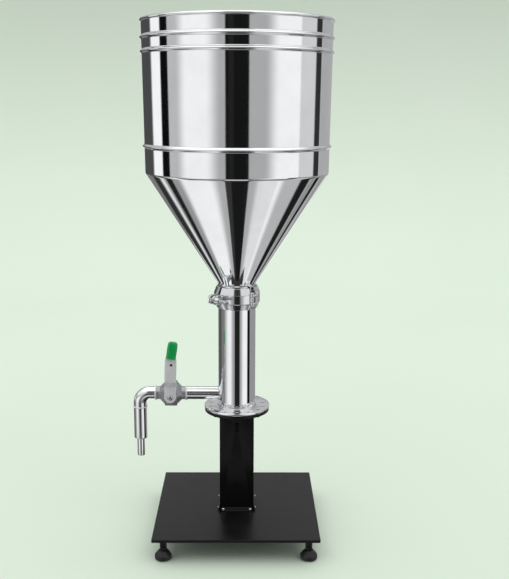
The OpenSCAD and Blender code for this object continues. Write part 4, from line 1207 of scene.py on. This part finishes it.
keptFinish = {
    "clamp_gasket": "seal", "valve_seats": "seal", "stem_packing": "seal", "valve_ball": "flatMirror",
    "valve_stem": "screw",
    "piston": "acetal", "piston_seals": "rubber", "check_disc": "screw", "piston_collar": "screw",
    "piston_rod": "roundMirror",
    "rod_bush": "bronze", "rod_seal": "rubber", "air_barrel": "alloy", "air_caps": "alloy",
    "tie_rods": "screw",
    "tie_nuts": "screw", "air_piston": "alloy", "air_piston_seal": "rubber", "air_fittings": "nickel",
    "fitting_collars": "blue",
}
for node, kind in keptFinish.items():
    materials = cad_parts[node].data.materials
    materials.clear()
    materials.append(finish[kind])
print("kept nodes finished:", len(keptFinish))


# floor and light

studio = {
    "floor": "#e2f0e0",
    "backdrop": "#dbecd8",
    "strength": 1.0,
    # dark flags and bright strips round the object: middle and half width in degrees, soft edge, shade;
    # angles run from the front (-Y) towards the right (+X), and a later flag covers an earlier one
    "bodyRing": {"base": 0.97, "flags": [(7.5, 35.5, 20, 0.43), (0.5, 14, 2, 0.008), (-6.5, 3, 2, 0.016),
                                         (-110, 40, 16, 0.52),
                                         (-96.5, 7, 2, 0.004), (-112.5, 9.5, 3, 1.0), (-146, 22, 4, 0.07),
                                         (100, 18.5, 3, 0.66),
                                         (114.5, 6.5, 3, 0.03), (150, 29, 4, 0.42), (-180, 7, 3, 0.06),
                                         (180, 5, 3, 0.1)]},
    "tubeRing": {"base": 0.97, "flags": [(0, 32, 20, 0.4), (1.5, 16, 7, 0.015), (-125, 55, 40, 0.2),
                                         (-127, 17, 16, 0.09),
                                         (125, 37, 5, 0.31), (77, 10.5, 6, 0.008)]},
    "coneRing": {"base": 0.95, "flags": [(68, 14, 6, 0.79), (0, 50, 22, 0.44), (0, 28.5, 3, 0.01),
                                         (-21, 7, 4, 0.035),
                                         (-127, 24, 10, 0.33), (-130, 2.5, 2, 0.8), (-119.5, 4.5, 2, 0.015),
                                         (-144, 9, 3, 0.03),
                                         (104, 14.5, 10, 0.49), (121.5, 7, 3, 0.012), (133, 4, 3, 0.31),
                                         (141, 4, 3, 0.01),
                                         (155, 10, 3, 0.44)]},
    # what steep bends mirror: a dark band below with a gap at the front, and a grey one above
    "bendRing": {"base": 0.2, "flags": [(0, 16, 4, 0.55)]},
    # a thin grey line that edges the beads, then what slopes facing up mirror
    "beadLine": 0.4,
    "browRing": {"base": 0.85, "flags": [(2, 19, 8, 0.03), (180, 60, 20, 0.5), (-180, 60, 20, 0.5)]},
    "overhead": 1.5,
    "ground": 0.04,
    # the cone's ring is laid first and these over it, each from where its elevation starts, in degrees
    "layers": ("tubeRing", "bendRing", "bodyRing", "beadLine", "browRing", "overhead", "ground"),
    "starts": {"tubeRing": (-24.0, -22.0), "bodyRing": (-11.5, -8.5), "beadLine": (6.0, 9.0),
               "browRing": (15.0, 18.0),
               "overhead": (38.0, 55.0), "ground": (-77.0, -80.0)},
    "bendAcross": (0, 86, 6),       # middle, half width and soft edge
    "bendUpwards": (-38, 15, 4),
    "floorRadius": 2400, "floorBend": 2600, "wallTop": 7000,
}


def makeWorld():
    world = bpy.data.worlds.new("studio")
    scene.world = world
    world.use_nodes = True
    tree = world.node_tree
    tree.nodes.clear()
    direction = addNode(tree, "ShaderNodeTexCoord").outputs["Generated"]
    part = addNode(tree, "ShaderNodeSeparateXYZ", {0: direction}).outputs

    towardsFront = addNode(tree, "ShaderNodeMath", {0: part["Y"], 1: -1.0}, operation="MULTIPLY").outputs[0]
    turn = addNode(tree, "ShaderNodeMath", {0: part["X"], 1: towardsFront}, operation="ARCTAN2").outputs[0]
    azimuth = addNode(tree, "ShaderNodeMath", {0: turn, 1: 180 / math.pi}, operation="MULTIPLY").outputs[0]
    rise = addNode(tree, "ShaderNodeMath", {0: part["Z"]}, operation="ARCSINE").outputs[0]
    elevation = addNode(tree, "ShaderNodeMath", {0: rise, 1: 180 / math.pi}, operation="MULTIPLY").outputs[0]

    def insideBand(value, middle, half, soft):
        # 1 inside the band, down to 0 over its soft edge
        offset = addNode(tree, "ShaderNodeMath", {0: value, 1: float(middle)},
                         operation="SUBTRACT").outputs[0]
        away = addNode(tree, "ShaderNodeMath", {0: offset}, operation="ABSOLUTE").outputs[0]
        edge = {"Value": away, 1: half - soft / 2, 2: half + soft / 2, 3: 1.0, 4: 0.0}
        return addNode(tree, "ShaderNodeMapRange", edge, interpolation_type="SMOOTHSTEP").outputs[0]

    def ringShade(values):
        shade = values["base"]
        for middle, half, soft, level in values["flags"]:
            inside = insideBand(azimuth, middle, half, soft)
            shade = addNode(tree, "ShaderNodeMix", {0: inside, 2: shade, 3: float(level)}).outputs[0]
        return shade

    shade = ringShade(studio["coneRing"])
    for name in studio["layers"]:
        if name == "bendRing":
            across = insideBand(azimuth, *studio["bendAcross"])
            upwards = insideBand(elevation, *studio["bendUpwards"])
            share = addNode(tree, "ShaderNodeMath", {0: across, 1: upwards}, operation="MULTIPLY").outputs[0]
        else:
            low, high = studio["starts"][name]
            edge = {"Value": elevation, 1: low, 2: high, 3: 0.0, 4: 1.0}
            share = addNode(tree, "ShaderNodeMapRange", edge).outputs[0]
        level = ringShade(studio[name]) if name.endswith("Ring") else studio[name]
        shade = addNode(tree, "ShaderNodeMix", {0: share, 2: shade, 3: level}).outputs[0]
    light = addNode(tree, "ShaderNodeBackground", {"Color": shade, "Strength": studio["strength"]})
    addNode(tree, "ShaderNodeOutputWorld", {"Surface": light.outputs[0]})


def makeFloor():
    # A wide shallow bowl, so that the floor runs into the backdrop without a line
    flat, bend = studio["floorRadius"], studio["floorBend"]
    points = [(0, 0), (flat, 0)]
    for degrees in range(6, 91, 6):
        a = math.radians(degrees)
        points.append((flat + bend * math.sin(a), bend * (1 - math.cos(a))))
    points.append((flat + bend, studio["wallTop"]))
    floor = turnedPart("floor", points, "seal", steps=96, closed=False, support=False)
    material, tree, shader, place = startMaterial("paintedFloor", Roughness=0.7)
    mottle = addNode(tree, "ShaderNodeTexNoise", {"Vector": place, "Scale": 1.2, "Detail": 2.0})
    colour = addNode(tree, "ShaderNodeMix",
                     {0: mottle.outputs[0], 6: linear(studio["floor"]), 7: linear(studio["backdrop"])},
                     data_type="RGBA")
    tree.links.new(colour.outputs[2], shader.inputs["Base Color"])
    floor.data.materials.clear()
    floor.data.materials.append(material)
    floor.visible_glossy = False
    floor.visible_diffuse = False
    floor.visible_shadow = False


makeWorld()
makeFloor()
scene.view_settings.view_transform = "Standard"
print("studio made")
